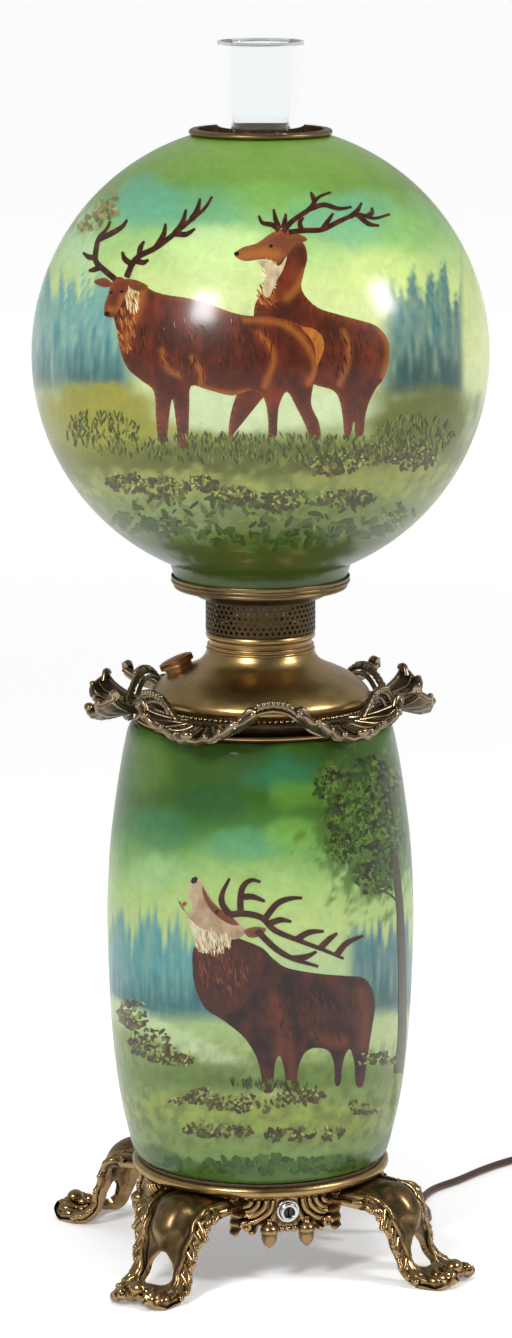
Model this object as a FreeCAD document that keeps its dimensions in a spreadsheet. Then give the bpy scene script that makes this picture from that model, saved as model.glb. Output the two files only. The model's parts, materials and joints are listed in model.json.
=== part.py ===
"""Electrified centre-draught parlour oil lamp with a painted glass body and ball shade.

Row frame: +Z up, origin on the floor under the lamp's axis, front of the base towards -Y.
Every driving dimension is a cell of the Sizes sheet, in millimetres or degrees, and each
sub-part is an object of the document whose sizes are bound to those cells.
"""
import FreeCAD, Part
import math
import os

import Sketcher

V = FreeCAD.Vector
Z_AXIS = V(0, 0, 1)

# Driving dimensions: millimetres, or degrees where the name says so.
DRIVING = {
    # cast base
    "plate_top": 50.5, "plate_thick": 4, "plate_bore": 44, "plate_rad": 66.5,
    "leg_reach": 131, "leg_thick": 5, "leg_spread": 29, "leg_waist": 17, "foot_tall": 18,
    "apron_rad": 66.5, "apron_thick": 3.5, "apron_low": 31, "leg_turn_deg": 45, "leg_count": 4,
    # glass body and its brass rings
    "roll_rad": 70.4, "roll_bead": 3.1, "sheet_brass": 1.2, "felt_thick": 1.3,
    "heel_rad": 70.4, "belly_rad": 87, "belly_up": 187, "body_top": 310, "shoulder_rad": 75.5,
    "glass_wall": 3.5, "mouth_rad": 62,
    # crown casting
    "crown_in": 60.6, "crown_out": 66.5, "crown_top": 319.5, "petal_reach": 96, "petal_top": 336,
    "petal_low": 309, "petal_half": 33, "petal_count": 6, "crown_turn_deg": -7.6,
    # drop-in font and its cup
    "cup_rad": 54.2, "cup_low": 234, "tank_rad": 52.4, "tank_low": 241, "font_rad": 61.9,
    "font_seat": 320.5, "font_edge": 325, "neck_rad": 30.2, "neck_low": 350.5, "tin_wall": 0.8,
    "draught_rad": 12, "wick_tube_rad": 16, "tube_wall": 1, "draught_top": 372, "wick_top": 368,
    # filler
    "filler_rad": 46, "filler_turn_deg": 162, "filler_tilt_deg": 24, "filler_up": 338.6,
    "filler_bore": 6.5, "cap_rad": 10, "cap_tall": 4.2,
    # tie pipe and its fittings
    "pipe_rad": 5, "pipe_bore": 3.5, "pipe_low": 36, "nut_flats": 14, "nut_tall": 5,
    "disc_rad": 50, "disc_thick": 1.6,
    # burner
    "collar_top": 357, "bead_rad": 30.9, "basket_low": 362, "basket_top": 380.5, "basket_rad": 31,
    "seat_rad": 35.8, "ring_rad": 50.3, "ring_lip": 393, "ring_floor": 388.6, "ring_wall": 0.8,
    "prong_rad": 33.8, "prong_top": 397,
    # glass ball shade and its brass rim
    "globe_rad": 127.5, "globe_up": 517.5, "globe_wall": 3, "fitter_rad": 48.9,
    "fitter_flare": 50.5, "fitter_low": 389.3, "top_hole": 37, "rim_bead": 1.6,
    # chimney
    "chimney_low": 382.3, "chimney_foot": 32.6, "chimney_top": 690, "chimney_rad": 24,
    "chimney_wall": 1.5, "chimney_waist": 465,
    # winder, rack and wick carrier
    "winder_up": 354, "pitch_rad": 3.5, "pinion_teeth": 10, "gear_near": 17.6, "gear_far": 20.6,
    "spindle_rad": 1.5, "knob_rad": 8, "knob_near": 36, "carrier_low": 320, "rack_top": 359.5,
    # lamp holder and tubular bulb
    "socket_rad": 16.4, "socket_low": 372, "socket_mid": 386, "socket_top": 410, "screw_rad": 13.1,
    "bulb_rad": 15.8, "bulb_top": 500,
    # rotary switch in the front of the base
    "switch_up": 42, "bushing_rad": 4.8, "bushing_bore": 3.3, "ring_nut_rad": 6.8, "stem_rad": 3.1,
    # power cord
    "cord_dia": 4.5, "gland_up": 36, "gland_dip_deg": 30, "gland_long": 24, "coil_mean": 27,
    "coil_turns": 3, "coil_pitch": 4.55, "coil_x": 240, "coil_y": 118, "lead_rad": 1.9,
}

doc = FreeCAD.newDocument("oil_lamp")
sheet = doc.addObject("Spreadsheet::Sheet", "Sizes")
for row, (alias, number) in enumerate(DRIVING.items(), start=1):
    sheet.set(f"A{row}", alias)
    sheet.set(f"B{row}", str(number))
    sheet.setAlias(f"B{row}", alias)
doc.recompute()

parts = []


class Size:
    """A length that knows both its value and the expression that binds it to the sheet."""

    def __init__(self, value, text):
        self.value = float(value)
        self.text = text

    def _join(self, other, sign, value):
        return Size(value, f"({self.text} {sign} {size(other).text})")

    def __add__(self, other):
        return self._join(other, "+", self.value + size(other).value)

    def __sub__(self, other):
        return self._join(other, "-", self.value - size(other).value)

    def __mul__(self, other):
        return self._join(other, "*", self.value * size(other).value)

    def __truediv__(self, other):
        return self._join(other, "/", self.value / size(other).value)

    def __rsub__(self, other):
        return size(other) - self

    def __neg__(self):
        return size(0) - self


def size(thing):
    if isinstance(thing, Size):
        return thing
    return Size(thing, f"{thing:g}" if thing >= 0 else f"(0 - {-thing:g})")


class Sizes:
    """Names of the sheet's cells as attributes."""

    def __getattr__(self, alias):
        return Size(DRIVING[alias], f"Sizes.{alias}")


s = Sizes()


def bind(thing, **properties):
    """Sets and binds numeric properties of a document object to sheet expressions."""
    for name, value in properties.items():
        setattr(thing, name, size(value).value)
        thing.setExpression(name, size(value).text)
    return thing


def keep(thing, node):
    """Marks a document object as a sub-part, whose Label names its file."""
    thing.Label = node
    parts.append(thing)
    return thing


def new_body(name):
    return doc.addObject("PartDesign::Body", name)


def plane(body, role):
    return next(f for f in body.Origin.OriginFeatures if f.Role == role)


def sketch_on(body, name, role, lift=None):
    sketch = body.newObject("Sketcher::SketchObject", name)
    sketch.AttachmentSupport = (plane(body, role), [""])
    sketch.MapMode = "FlatFace"
    if lift is not None:
        sketch.AttachmentOffset.Base = V(0, 0, size(lift).value)
        sketch.setExpression("AttachmentOffset.Base.z", size(lift).text)
    return sketch


def arc_radius(bend, chord):
    """The radius that a bend asks for: a Size is a radius, and a plain number a sagitta."""
    if isinstance(bend, Size):
        return bend if bend.value > 0 else -bend
    return size(chord * chord / (8 * abs(bend)) + abs(bend) / 2)


def outline(sketch, points):
    """Draws a closed outline. A point is (across, up) or (across, up, bend), where bend shapes the
    arc from this point to the next: a signed sagitta or a signed radius, positive to its right."""
    first = sketch.GeometryCount
    corners = [(size(p[0]), size(p[1]), p[2] if len(p) > 2 else 0) for p in points]
    near_ends = []
    radii = []
    edges = []
    for here, there in zip(corners, corners[1:] + corners[:1]):
        a = V(here[0].value, here[1].value, 0)
        b = V(there[0].value, there[1].value, 0)
        bend = size(here[2]).value
        near_ends.append(2 if bend < 0 else 1)
        if not bend:
            edges.append(Part.LineSegment(a, b))
            radii.append(None)
            continue
        chord = (b - a).Length
        radius = arc_radius(here[2], chord)
        sagitta = radius.value - math.sqrt(radius.value ** 2 - chord * chord / 4)
        middle = (a + b) * 0.5 + (b - a).cross(Z_AXIS).normalize() * math.copysign(sagitta, bend)
        edges.append(Part.Arc(b, middle, a) if bend < 0 else Part.Arc(a, middle, b))
        radii.append(radius)
    sketch.addGeometry(edges, False)
    for index, (across, up, _) in enumerate(corners):
        edge, near = first + index, near_ends[index]
        after = (index + 1) % len(corners)
        sketch.addConstraint(Sketcher.Constraint("Coincident", edge, 3 - near, first + after,
                                                 near_ends[after]))
        for kind, value in (("DistanceX", across), ("DistanceY", up)):
            rule = sketch.addConstraint(Sketcher.Constraint(kind, -1, 1, edge, near, value.value))
            sketch.setExpression(f"Constraints[{rule}]", value.text)
        if radii[index]:
            rule = sketch.addConstraint(Sketcher.Constraint("Radius", edge, radii[index].value))
            if isinstance(corners[index][2], Size):
                sketch.setExpression(f"Constraints[{rule}]", radii[index].text)
    return sketch


def revolve(body, sketch, name):
    turn = body.newObject("PartDesign::Revolution", name)
    turn.Profile = sketch
    turn.ReferenceAxis = (sketch, ["V_Axis"])
    turn.Angle = 360
    return turn


def turned(node, points, *more):
    """A piece turned about the lamp's axis, from one or more closed outlines in (radius, height)."""
    body = new_body(node + "_body")
    for number, loop in enumerate((points, *more)):
        sketch = sketch_on(body, f"{node}_section{number}", "XZ_Plane")
        outline(sketch, loop)
        revolve(body, sketch, f"{node}_turn{number}")
    return keep(body, node)


def ring(node, inner, outer, low, high):
    return turned(node, [(inner, low), (outer, low), (outer, high), (inner, high)])


def pad(body, sketch, name, length, midplane=False, down=False):
    feature = body.newObject("PartDesign::Pad", name)
    feature.Profile = sketch
    bind(feature, Length=length)
    feature.SideType = "Symmetric" if midplane else "One side"
    feature.Reversed = down
    return feature


def pocket(body, sketch, name, length=None, midplane=False, down=False):
    feature = body.newObject("PartDesign::Pocket", name)
    feature.Profile = sketch
    if length is None:
        feature.Type = "ThroughAll"
    else:
        bind(feature, Length=length)
    feature.SideType = "Symmetric" if midplane else "One side"
    feature.Reversed = down
    return feature


def polar(body, features, name, count):
    pattern = body.newObject("PartDesign::PolarPattern", name)
    pattern.Originals = features
    pattern.Axis = (plane(body, "Z_Axis"), [""])
    pattern.Angle = 360
    pattern.Occurrences = int(size(count).value)
    pattern.setExpression("Occurrences", size(count).text)
    body.Tip = pattern
    return pattern


def cylinder(name, radius, height, base=V(0, 0, 0), axis=Z_AXIS):
    solid = bind(doc.addObject("Part::Cylinder", name), Radius=radius, Height=height)
    solid.Placement = FreeCAD.Placement(base, FreeCAD.Rotation(Z_AXIS, axis))
    return solid


def hexagon(name, flats, height, base, axis=Z_AXIS):
    solid = bind(doc.addObject("Part::Prism", name), Circumradius=size(flats) / 1.7320508, Height=height)
    solid.Polygon = 6
    solid.Placement = FreeCAD.Placement(base, FreeCAD.Rotation(Z_AXIS, axis))
    return solid


def cut(name, base, tool):
    result = doc.addObject("Part::Cut", name)
    result.Base, result.Tool = base, tool
    return result


def fuse(name, *pieces):
    result = doc.addObject("Part::MultiFuse", name)
    result.Shapes = list(pieces)
    return result


def place(thing, where, rotation=FreeCAD.Rotation()):
    thing.Placement = FreeCAD.Placement(where, rotation)
    return thing


# ---------------------------------------------------------------- cast base

def gland_line():
    """Where the cord's gland stands in the apron, and the way it points: out and down."""
    dip = math.radians(s.gland_dip_deg.value)
    return V(s.apron_rad.value, 0, s.gland_up.value), V(math.cos(dip), 0, -math.sin(dip))


def base_casting():
    """Footed casting: a round top plate and apron, with four flared legs on scrolled feet."""
    body = new_body("base_casting_body")
    plate_low = s.plate_top - s.plate_thick
    plate = sketch_on(body, "base_plate", "XZ_Plane")
    outline(plate, [(s.plate_bore, plate_low), (s.plate_rad, plate_low), (s.plate_rad, s.plate_top),
                    (s.plate_bore, s.plate_top)])
    revolve(body, plate, "base_plate_turn")
    side = sketch_on(body, "leg_side", "XZ_Plane")
    knee = s.leg_reach - 41
    ankle = s.leg_reach - 20
    outline(side, [
        (s.plate_rad - 8, s.plate_top - 0.5), (knee, plate_low, 9), (ankle, s.foot_tall, -3),
        (s.leg_reach, s.foot_tall / 2, -3), (s.leg_reach - 6, 0), (ankle, 0),
        (ankle - 5, s.foot_tall - 6, -6.5), (knee - 4, plate_low - s.leg_thick),
        (s.plate_rad - 8, plate_low)])
    leg = pad(body, side, "leg", s.leg_spread * 2.3, midplane=True)
    flank = sketch_on(body, "leg_flanks", "YZ_Plane")
    for hand in (1, -1):
        outline(flank, [
            (s.leg_spread * 1.3 * hand, plate_low - 3), (s.leg_waist * hand, s.foot_tall + 3),
            (s.leg_spread * 0.86 * hand, s.foot_tall / 3), (s.leg_spread * 0.7 * hand, -2),
            (s.leg_spread * 1.4 * hand, -2)])
    trim = pocket(body, flank, "leg_trim", down=True)
    eye = sketch_on(body, "leg_eye", "YZ_Plane")
    outline(eye, [(-7, s.foot_tall / 4, -4), (7, s.foot_tall / 4), (3, s.foot_tall + 7),
                  (-3, s.foot_tall + 7)])
    window = pocket(body, eye, "leg_window", down=True)
    doc.recompute()
    polar(body, [leg, trim, window], "legs", s.leg_count)
    apron = sketch_on(body, "apron_section", "XZ_Plane")
    outline(apron, [(s.apron_rad - s.apron_thick, s.apron_low), (s.apron_rad, s.apron_low),
                    (s.apron_rad, s.plate_top - 1), (s.apron_rad - s.apron_thick, s.plate_top - 1)])
    revolve(body, apron, "apron_turn")
    place(body, V(0, 0, 0), FreeCAD.Rotation(Z_AXIS, s.leg_turn_deg.value))
    reach = s.apron_rad + 4
    hole = cylinder("switch_hole", s.bushing_rad + 0.2, 14, V(0, -reach.value, s.switch_up.value),
                    V(0, 1, 0))
    start, heading = gland_line()
    gland_hole = cylinder("gland_hole", s.cord_dia + 0.2, 20, start - heading * 8, heading)
    keep(cut("base_casting_cut", body, fuse("base_holes", hole, gland_hole)), "base_casting")


def base_fittings():
    """Steel check disc, hollow tie pipe and nuts that clamp cup, crown, glass and base together."""
    under = s.plate_top - s.plate_thick
    ring("check_disc", s.pipe_rad + 0.3, s.disc_rad, under - s.disc_thick, under)
    ring("tie_pipe", s.pipe_bore, s.pipe_rad, s.pipe_low, s.cup_low + s.tin_wall + s.nut_tall + 1)
    for node, low in (("pipe_nut_lower", under - s.disc_thick - s.nut_tall),
                      ("pipe_nut_upper", s.cup_low + s.tin_wall)):
        nut = hexagon(node + "_hex", s.nut_flats, s.nut_tall, V(0, 0, low.value))
        bore = cylinder(node + "_bore", s.pipe_rad, s.nut_tall + 2, V(0, 0, low.value - 1))
        keep(cut(node + "_cut", nut, bore), node)
    turned("pipe_bushing", [
        (s.lead_rad + 0.1, s.pipe_low - 2), (s.pipe_rad + 1.6, s.pipe_low - 2),
        (s.pipe_rad + 1.6, s.pipe_low + 2.9),
        (s.pipe_rad, s.pipe_low + 2.9), (s.pipe_rad, s.pipe_low), (s.lead_rad + 0.1, s.pipe_low)])


# ---------------------------------------------------------------- glass body

def body_rings():
    """Spun brass seat ring under the glass, collar over it, and the felts between."""
    low = s.plate_top
    bead = s.roll_bead
    seat = low + bead * 2
    inner = s.mouth_rad + 0.4
    step = inner + 3.8
    wall = s.sheet_brass
    turned("seat_ring", [
        (s.mouth_rad - 6, low), (s.roll_rad, low, bead), (s.roll_rad + bead, low + bead, bead),
        (s.roll_rad, seat),
        (inner, seat), (inner, seat - wall), (step, seat - wall), (step, low + wall),
        (s.mouth_rad - 6, low + wall)])
    ring("seat_felt", inner, s.roll_rad - 0.4, seat, seat + s.felt_thick)
    felt_top = s.body_top + s.felt_thick
    ring("collar_felt", s.mouth_rad, s.roll_rad - 2.2, s.body_top, felt_top)
    turned("body_collar", [
        (s.crown_in, felt_top), (s.roll_rad - 1.6, felt_top), (s.roll_rad, felt_top + 0.4, 0.5),
        (s.roll_rad - 0.2, felt_top + 2.4),
        (s.roll_rad - 2, felt_top + 2.2), (s.roll_rad - 2.8, felt_top + s.sheet_brass),
        (s.crown_in, felt_top + s.sheet_brass)])


def body_glass():
    """Barrel-shaped opal glass body, open at both ends."""
    low = s.plate_top + s.roll_bead * 2 + s.felt_thick
    rise = s.shoulder_rad - 1
    wall = s.glass_wall
    turned("body_glass", [
        (s.mouth_rad, low), (s.heel_rad, low, 0.9), (rise, low + 9, 3.4), (s.belly_rad, s.belly_up, 3.4),
        (s.shoulder_rad, s.body_top - 6.5, 1.2), (s.roll_rad - 0.6, s.body_top),
        (s.mouth_rad, s.body_top),
        (s.mouth_rad, s.body_top - wall), (s.shoulder_rad - wall - 1, s.body_top - 8, -3.4),
        (s.belly_rad - wall, s.belly_up, -3.5), (rise - wall, low + 10), (s.mouth_rad, low + wall)])


# ---------------------------------------------------------------- crown and font cup

def crown_casting():
    """Cast crown: a seat ring with six flared open petals."""
    body = new_body("crown_body")
    foot = s.body_top + s.felt_thick + s.sheet_brass
    wall = sketch_on(body, "crown_section", "XZ_Plane")
    outline(wall, [(s.crown_in, foot), (s.crown_in + 3.4, foot), (s.crown_out, s.crown_top - 5),
                   (s.crown_out, s.crown_top + 1.2), (s.crown_out - 2.4, s.crown_top + 1.2),
                   (s.crown_out - 2.4, s.crown_top), (s.cup_rad + 1.3, s.crown_top),
                   (s.cup_rad + 1.3, s.crown_top - 2.4),
                   (s.crown_in, s.crown_top - 2.4)])
    revolve(body, wall, "crown_turn")
    side = sketch_on(body, "petal_side", "XZ_Plane")
    lip = s.petal_top - s.petal_low
    outline(side, [
        (s.crown_out - 2, s.crown_top - 4.6), (s.petal_reach - 14, s.petal_low + lip * 0.25, 1),
        (s.petal_reach, s.petal_top - 3),
        (s.petal_reach - 3, s.petal_top), (s.petal_reach - 15.5, s.petal_low + lip * 0.42, -2),
        (s.crown_out - 2, s.crown_top - 2)])
    petal = pad(body, side, "petal", s.petal_half * 2, midplane=True)
    plan = sketch_on(body, "petal_flanks", "XY_Plane", s.petal_low - 5)
    for hand in (1, -1):
        outline(plan, [
            (s.crown_out + 0.6, s.petal_half * 0.42 * hand),
            (s.petal_reach - 9, s.petal_half * 0.92 * hand),
            (s.petal_reach + 3, s.petal_half * 0.5 * hand),
            (s.petal_reach + 3, s.petal_half * 1.3 * hand),
            (s.crown_out + 0.6, s.petal_half * 1.3 * hand)])
    trim = pocket(body, plan, "petal_trim", 60, down=True)
    hole = sketch_on(body, "petal_hole", "XY_Plane", s.petal_low - 5)
    outline(hole, [(s.crown_out + 3, -7), (s.petal_reach - 13, -9), (s.petal_reach - 13, 9),
                   (s.crown_out + 3, 7)])
    window = pocket(body, hole, "petal_window", 60, down=True)
    doc.recompute()
    polar(body, [petal, trim, window], "petals", s.petal_count)
    place(body, V(0, 0, 0), FreeCAD.Rotation(Z_AXIS, s.crown_turn_deg.value))
    keep(body, "crown_casting")


def font_cup():
    """Spun cup that hangs in the glass body and carries the drop-in font."""
    inner = s.cup_rad - s.tin_wall
    top = s.font_seat
    turned("font_cup", [
        (s.pipe_rad + 0.1, s.cup_low), (s.cup_rad, s.cup_low), (s.cup_rad, top - 1),
        (s.crown_out - 3.4, top - 1),
        (s.crown_out - 3.4, top), (inner, top), (inner, s.cup_low + s.tin_wall),
        (s.pipe_rad + 0.1, s.cup_low + s.tin_wall)])


# ---------------------------------------------------------------- font

def font_shells():
    """Drop-in oil font: spun dome, tank below it, centre-draught tube and wick tube."""
    wall = s.tin_wall
    waist_rad = s.neck_rad + 14
    waist_up = s.neck_low - 11.4
    turned("font_dome", [
        (s.neck_rad, s.neck_low, 2.6), (waist_rad, waist_up, -2.2), (s.font_rad, s.font_edge, -0.7),
        (s.font_rad - 2.6, s.font_seat), (s.tank_rad + 0.8, s.font_seat),
        (s.tank_rad + 0.8, s.font_seat + wall),
        (s.font_rad - 3, s.font_seat + wall, 0.5), (s.font_rad - wall, s.font_edge, 2.2),
        (waist_rad - 0.3, waist_up - wall, -2.6), (s.neck_rad - wall, s.neck_low - 0.4),
        (s.neck_rad - 3.4, s.neck_low - 0.4),
        (s.neck_rad - 3.4, s.neck_low)])
    turned("font_tank", [
        (s.draught_rad, s.tank_low), (s.tank_rad - 5, s.tank_low, 1.5), (s.tank_rad, s.tank_low + 5),
        (s.tank_rad, s.font_seat), (s.tank_rad + 0.8, s.font_seat),
        (s.tank_rad + 0.8, s.font_seat + wall), (s.tank_rad - wall, s.font_seat + wall),
        (s.tank_rad - wall, s.tank_low + 5.3, -1.4), (s.tank_rad - 5.3, s.tank_low + wall),
        (s.draught_rad, s.tank_low + wall)])
    ring("draught_tube", s.draught_rad - s.tube_wall, s.draught_rad, s.tank_low, s.draught_top)
    tube = cylinder("wick_tube_outer", s.wick_tube_rad, s.wick_top - 262, V(0, 0, 262))
    bore = cylinder("wick_tube_bore", s.wick_tube_rad - s.tube_wall, s.wick_top - 260, V(0, 0, 261))
    slot = bind(doc.addObject("Part::Box", "wick_tube_slot"), Length=3.4, Width=8,
                Height=s.winder_up - s.carrier_low + 8)
    place(slot, V(4, 10.5, s.carrier_low.value - 2))
    keep(cut("wick_tube_cut", tube, fuse("wick_tube_tools", bore, slot)), "wick_tube")


def font_collar():
    """Neck collar soldered on the dome, with two thin beads, and the winder's cross bore."""
    inner = s.neck_rad - 3.4
    body = turned("font_collar_turned", [
        (inner, s.neck_low), (s.neck_rad, s.neck_low), (s.neck_rad + 0.6, s.neck_low + 1, 0.5),
        (s.neck_rad - 0.4, s.neck_low + 2.2),
        (s.neck_rad - 1, s.neck_low + 2.6), (s.neck_rad - 0.1, s.neck_low + 3.5, 0.4),
        (s.neck_rad - 0.9, s.neck_low + 4.6),
        (s.neck_rad - 1.4, s.collar_top), (inner, s.collar_top)])
    parts.remove(body)
    bore = cylinder("winder_bore", s.spindle_rad + 0.05, 12, V(0, 24, s.winder_up.value), V(0, 1, 0))
    keep(cut("font_collar_cut", body, bore), "font_collar")


def filler():
    """Tilted filler neck on the dome's shoulder, with its cork washer and knurled cap."""
    turn = math.radians(s.filler_turn_deg.value)
    outward = V(math.cos(turn), math.sin(turn), 0)
    tilt = math.radians(s.filler_tilt_deg.value)
    axis = outward * math.sin(tilt) + Z_AXIS * math.cos(tilt)
    foot = outward * s.filler_rad.value + Z_AXIS * s.filler_up.value
    lean = FreeCAD.Rotation(Z_AXIS, axis)
    bore = s.filler_bore
    ring("filler_neck", bore, bore + 1.6, -3, 4.2)
    ring("filler_washer", bore, bore + 2, 4.2, 5)
    turned("filler_cap", [
        (0, 5.1), (bore + 2.2, 5.1), (bore + 2.2, 2.2), (s.cap_rad, 2.2),
        (s.cap_rad, s.cap_tall + 1.4, 0.4),
        (s.cap_rad - 1.4, s.cap_tall + 2.2), (3, s.cap_tall + 2.9), (0, s.cap_tall + 2.9)])
    for piece in parts[-3:]:
        place(piece, foot, lean)
    dome = next(p for p in parts if p.Label == "font_dome")
    parts.remove(dome)
    dome.Label = "font_dome_blank"
    drill = cylinder("filler_drill", bore + 1.6, 14, foot - axis * 7, axis)
    keep(cut("font_dome_cut", dome, drill), "font_dome")


# ---------------------------------------------------------------- burner

def burner():
    """Burner collar with its bead, air basket, shade ring and sprung chimney gallery."""
    low = s.collar_top
    turned("burner_collar", [
        (s.neck_rad - 3.4, low), (s.bead_rad - 2.3, low, 0.1), (s.bead_rad, low + 2.6, 0.5),
        (s.basket_rad - 0.8, s.basket_low),
        (s.neck_rad - 3.4, s.basket_low)])
    wall = s.ring_wall
    turned("air_basket", [
        (s.basket_rad - 0.8 - wall, s.basket_low), (s.basket_rad - 0.8, s.basket_low),
        (s.basket_rad, s.basket_top), (s.basket_rad - wall, s.basket_top)])
    turned("shade_ring", [
        (s.basket_rad - 2, s.basket_top), (s.seat_rad, s.basket_top),
        (s.ring_rad - 1.6, s.ring_floor - wall, 0.5),
        (s.ring_rad, s.ring_floor + 1), (s.ring_rad, s.ring_lip), (s.ring_rad - wall, s.ring_lip),
        (s.ring_rad - wall, s.ring_floor + 1), (s.ring_rad - 1.8, s.ring_floor + 0.2),
        (s.ring_rad - 5, s.ring_floor - 1),
        (s.seat_rad, s.basket_top + 1), (s.basket_rad - 2, s.basket_top + 1)])
    body = new_body("gallery_body")
    floor = sketch_on(body, "gallery_section", "XZ_Plane")
    low = s.basket_top + 1
    outline(floor, [(s.basket_rad - 2, low), (s.prong_rad, low), (s.prong_rad, low + 3),
                    (s.prong_rad - wall, low + 3),
                    (s.prong_rad - wall, low + wall), (s.basket_rad - 2, low + wall)])
    revolve(body, floor, "gallery_turn")
    side = sketch_on(body, "prong_side", "XZ_Plane")
    outline(side, [(s.prong_rad - wall, low + 2), (s.prong_rad, low + 2),
                   (s.prong_rad + 0.5, s.prong_top - 3),
                   (s.prong_rad + 1.2, s.prong_top), (s.prong_rad + 0.6, s.prong_top),
                   (s.prong_rad - 0.3, s.prong_top - 3)])
    prong = pad(body, side, "prong", 7, midplane=True)
    doc.recompute()
    polar(body, [prong], "prongs", 6)
    keep(body, "chimney_gallery")


def glassware():
    """Straight-topped chimney, glass ball shade with a short fitter neck, and its brass rim."""
    wall = s.chimney_wall
    foot = s.chimney_foot
    turned("chimney", [
        (foot, s.chimney_low), (foot, s.chimney_low + 22, 5), (s.chimney_rad, s.chimney_waist),
        (s.chimney_rad, s.chimney_top),
        (s.chimney_rad - wall, s.chimney_top), (s.chimney_rad - wall, s.chimney_waist, -5),
        (foot - wall, s.chimney_low + 22),
        (foot - wall, s.chimney_low)])
    outer, wall = s.globe_rad, s.globe_wall
    inner = outer - wall
    neck_up = s.globe_up.value - math.sqrt(outer.value ** 2 - s.fitter_flare.value ** 2)
    inner_neck_up = s.globe_up.value - math.sqrt(inner.value ** 2 - (s.fitter_flare - wall).value ** 2)
    hole_up = s.globe_up.value + math.sqrt(outer.value ** 2 - s.top_hole.value ** 2)
    inner_hole_up = s.globe_up.value + math.sqrt(inner.value ** 2 - s.top_hole.value ** 2)
    turned("globe_shade", [
        (s.fitter_rad - wall, s.fitter_low), (s.fitter_rad, s.fitter_low),
        (s.fitter_rad, s.ring_lip + 0.6),
        (s.fitter_flare, neck_up, outer),
        (outer, s.globe_up, outer), (s.top_hole, hole_up), (s.top_hole, inner_hole_up, -inner),
        (inner, s.globe_up, -inner),
        (s.fitter_flare - wall, inner_neck_up)])
    bead = s.rim_bead
    skirt = s.top_hole - 1.2
    turned("globe_rim", [
        (skirt - 0.8, hole_up - 13), (skirt, hole_up - 13), (skirt, hole_up),
        (s.top_hole + 1.2, hole_up, bead),
        (s.top_hole + 1.2 + bead, bead + hole_up, bead), (s.top_hole + 1.2, bead * 2 + hole_up),
        (skirt - 0.8, bead * 2 + hole_up)])


# ---------------------------------------------------------------- winder and wick carrier

def trapezoid(foot, tip, height):
    """Half-widths at the foot and tip of a gear tooth, as a closed flat outline along +X."""
    return [(0, -foot), (height, -tip), (height, tip), (0, foot)]


def winder():
    """Pinion on a spindle through the neck collar, its knob, and the wick carrier's rack."""
    teeth = int(s.pinion_teeth.value)
    pitch = 2 * math.pi * s.pitch_rad.value / teeth
    root = s.pitch_rad.value - pitch * 0.36
    tip = s.pitch_rad.value + pitch * 0.24
    up = s.winder_up.value
    near, far = s.gear_near.value, s.gear_far.value
    way = V(0, 1, 0)
    pieces = [cylinder("pinion_hub", size(root), s.gear_far - s.gear_near, V(0, near, up), way),
              cylinder("spindle_rod", s.spindle_rad, s.knob_near + 3 - s.gear_near, V(0, near, up), way)]
    for count in range(teeth):
        corners = trapezoid(pitch * 0.2, pitch * 0.11, tip - root + 0.3)
        flat = [V(root - 0.3 + x, 0, z) for x, z in corners]
        tooth = Part.Face(Part.makePolygon(flat + flat[:1])).extrude(V(0, far - near, 0))
        tooth.rotate(V(0, 0, 0), way, 360 * (count + 0.5) / teeth)
        tooth.translate(V(0, near, up))
        solid = doc.addObject("Part::Feature", f"pinion_tooth{count}")
        solid.Shape = tooth
        pieces.append(solid)
    keep(fuse("winder_spindle_fuse", *pieces), "winder_spindle")

    knob = new_body("winder_knob_body")
    profile = sketch_on(knob, "knob_section", "XZ_Plane")
    outline(profile, [
        (s.spindle_rad, 0), (s.knob_rad - 3, 0), (s.knob_rad, 2, 0.3), (s.knob_rad, 4.4),
        (s.knob_rad - 1.4, 6),
        (0, 6), (0, 3), (s.spindle_rad, 3)])
    revolve(knob, profile, "knob_turn")
    place(knob, V(0, s.knob_near.value, up), FreeCAD.Rotation(Z_AXIS, way))
    keep(knob, "winder_knob")

    low = s.carrier_low
    band = cylinder("carrier_band_outer", s.wick_tube_rad - s.tube_wall - 0.35, 12, V(0, 0, low.value))
    bore = cylinder("carrier_band_bore", s.draught_rad + 0.35, 14, V(0, 0, low.value - 1))
    arm = bind(doc.addObject("Part::Box", "carrier_arm"), Length=2.2, Width=s.gear_far - 13.2, Height=4)
    place(arm, V(4.7, 13.2, low.value))
    bar = bind(doc.addObject("Part::Box", "rack_bar"), Length=6.9 - (s.pitch_rad + 0.9),
               Width=s.gear_far - s.gear_near,
               Height=s.rack_top - low)
    place(bar, V(s.pitch_rad.value + 0.9, near, low.value))
    pieces = [cut("carrier_band", band, bore), arm, bar]
    lowest = round((low.value + 8 - up) / pitch)
    highest = int((s.rack_top.value - up) / pitch)
    for count in range(lowest, highest + 1):
        corners = trapezoid(pitch * 0.22, pitch * 0.11, 1.2 + pitch * 0.24)
        flat = [V(s.pitch_rad.value + 1.2 - x, 0, z) for x, z in corners]
        tooth = Part.Face(Part.makePolygon(flat + flat[:1])).extrude(V(0, far - near, 0))
        tooth.translate(V(0, near, up + count * pitch))
        solid = doc.addObject("Part::Feature", f"rack_tooth{count - lowest}")
        solid.Shape = tooth
        pieces.append(solid)
    keep(fuse("wick_carrier_fuse", *pieces), "wick_carrier")


# ---------------------------------------------------------------- lamp holder and bulb

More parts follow.
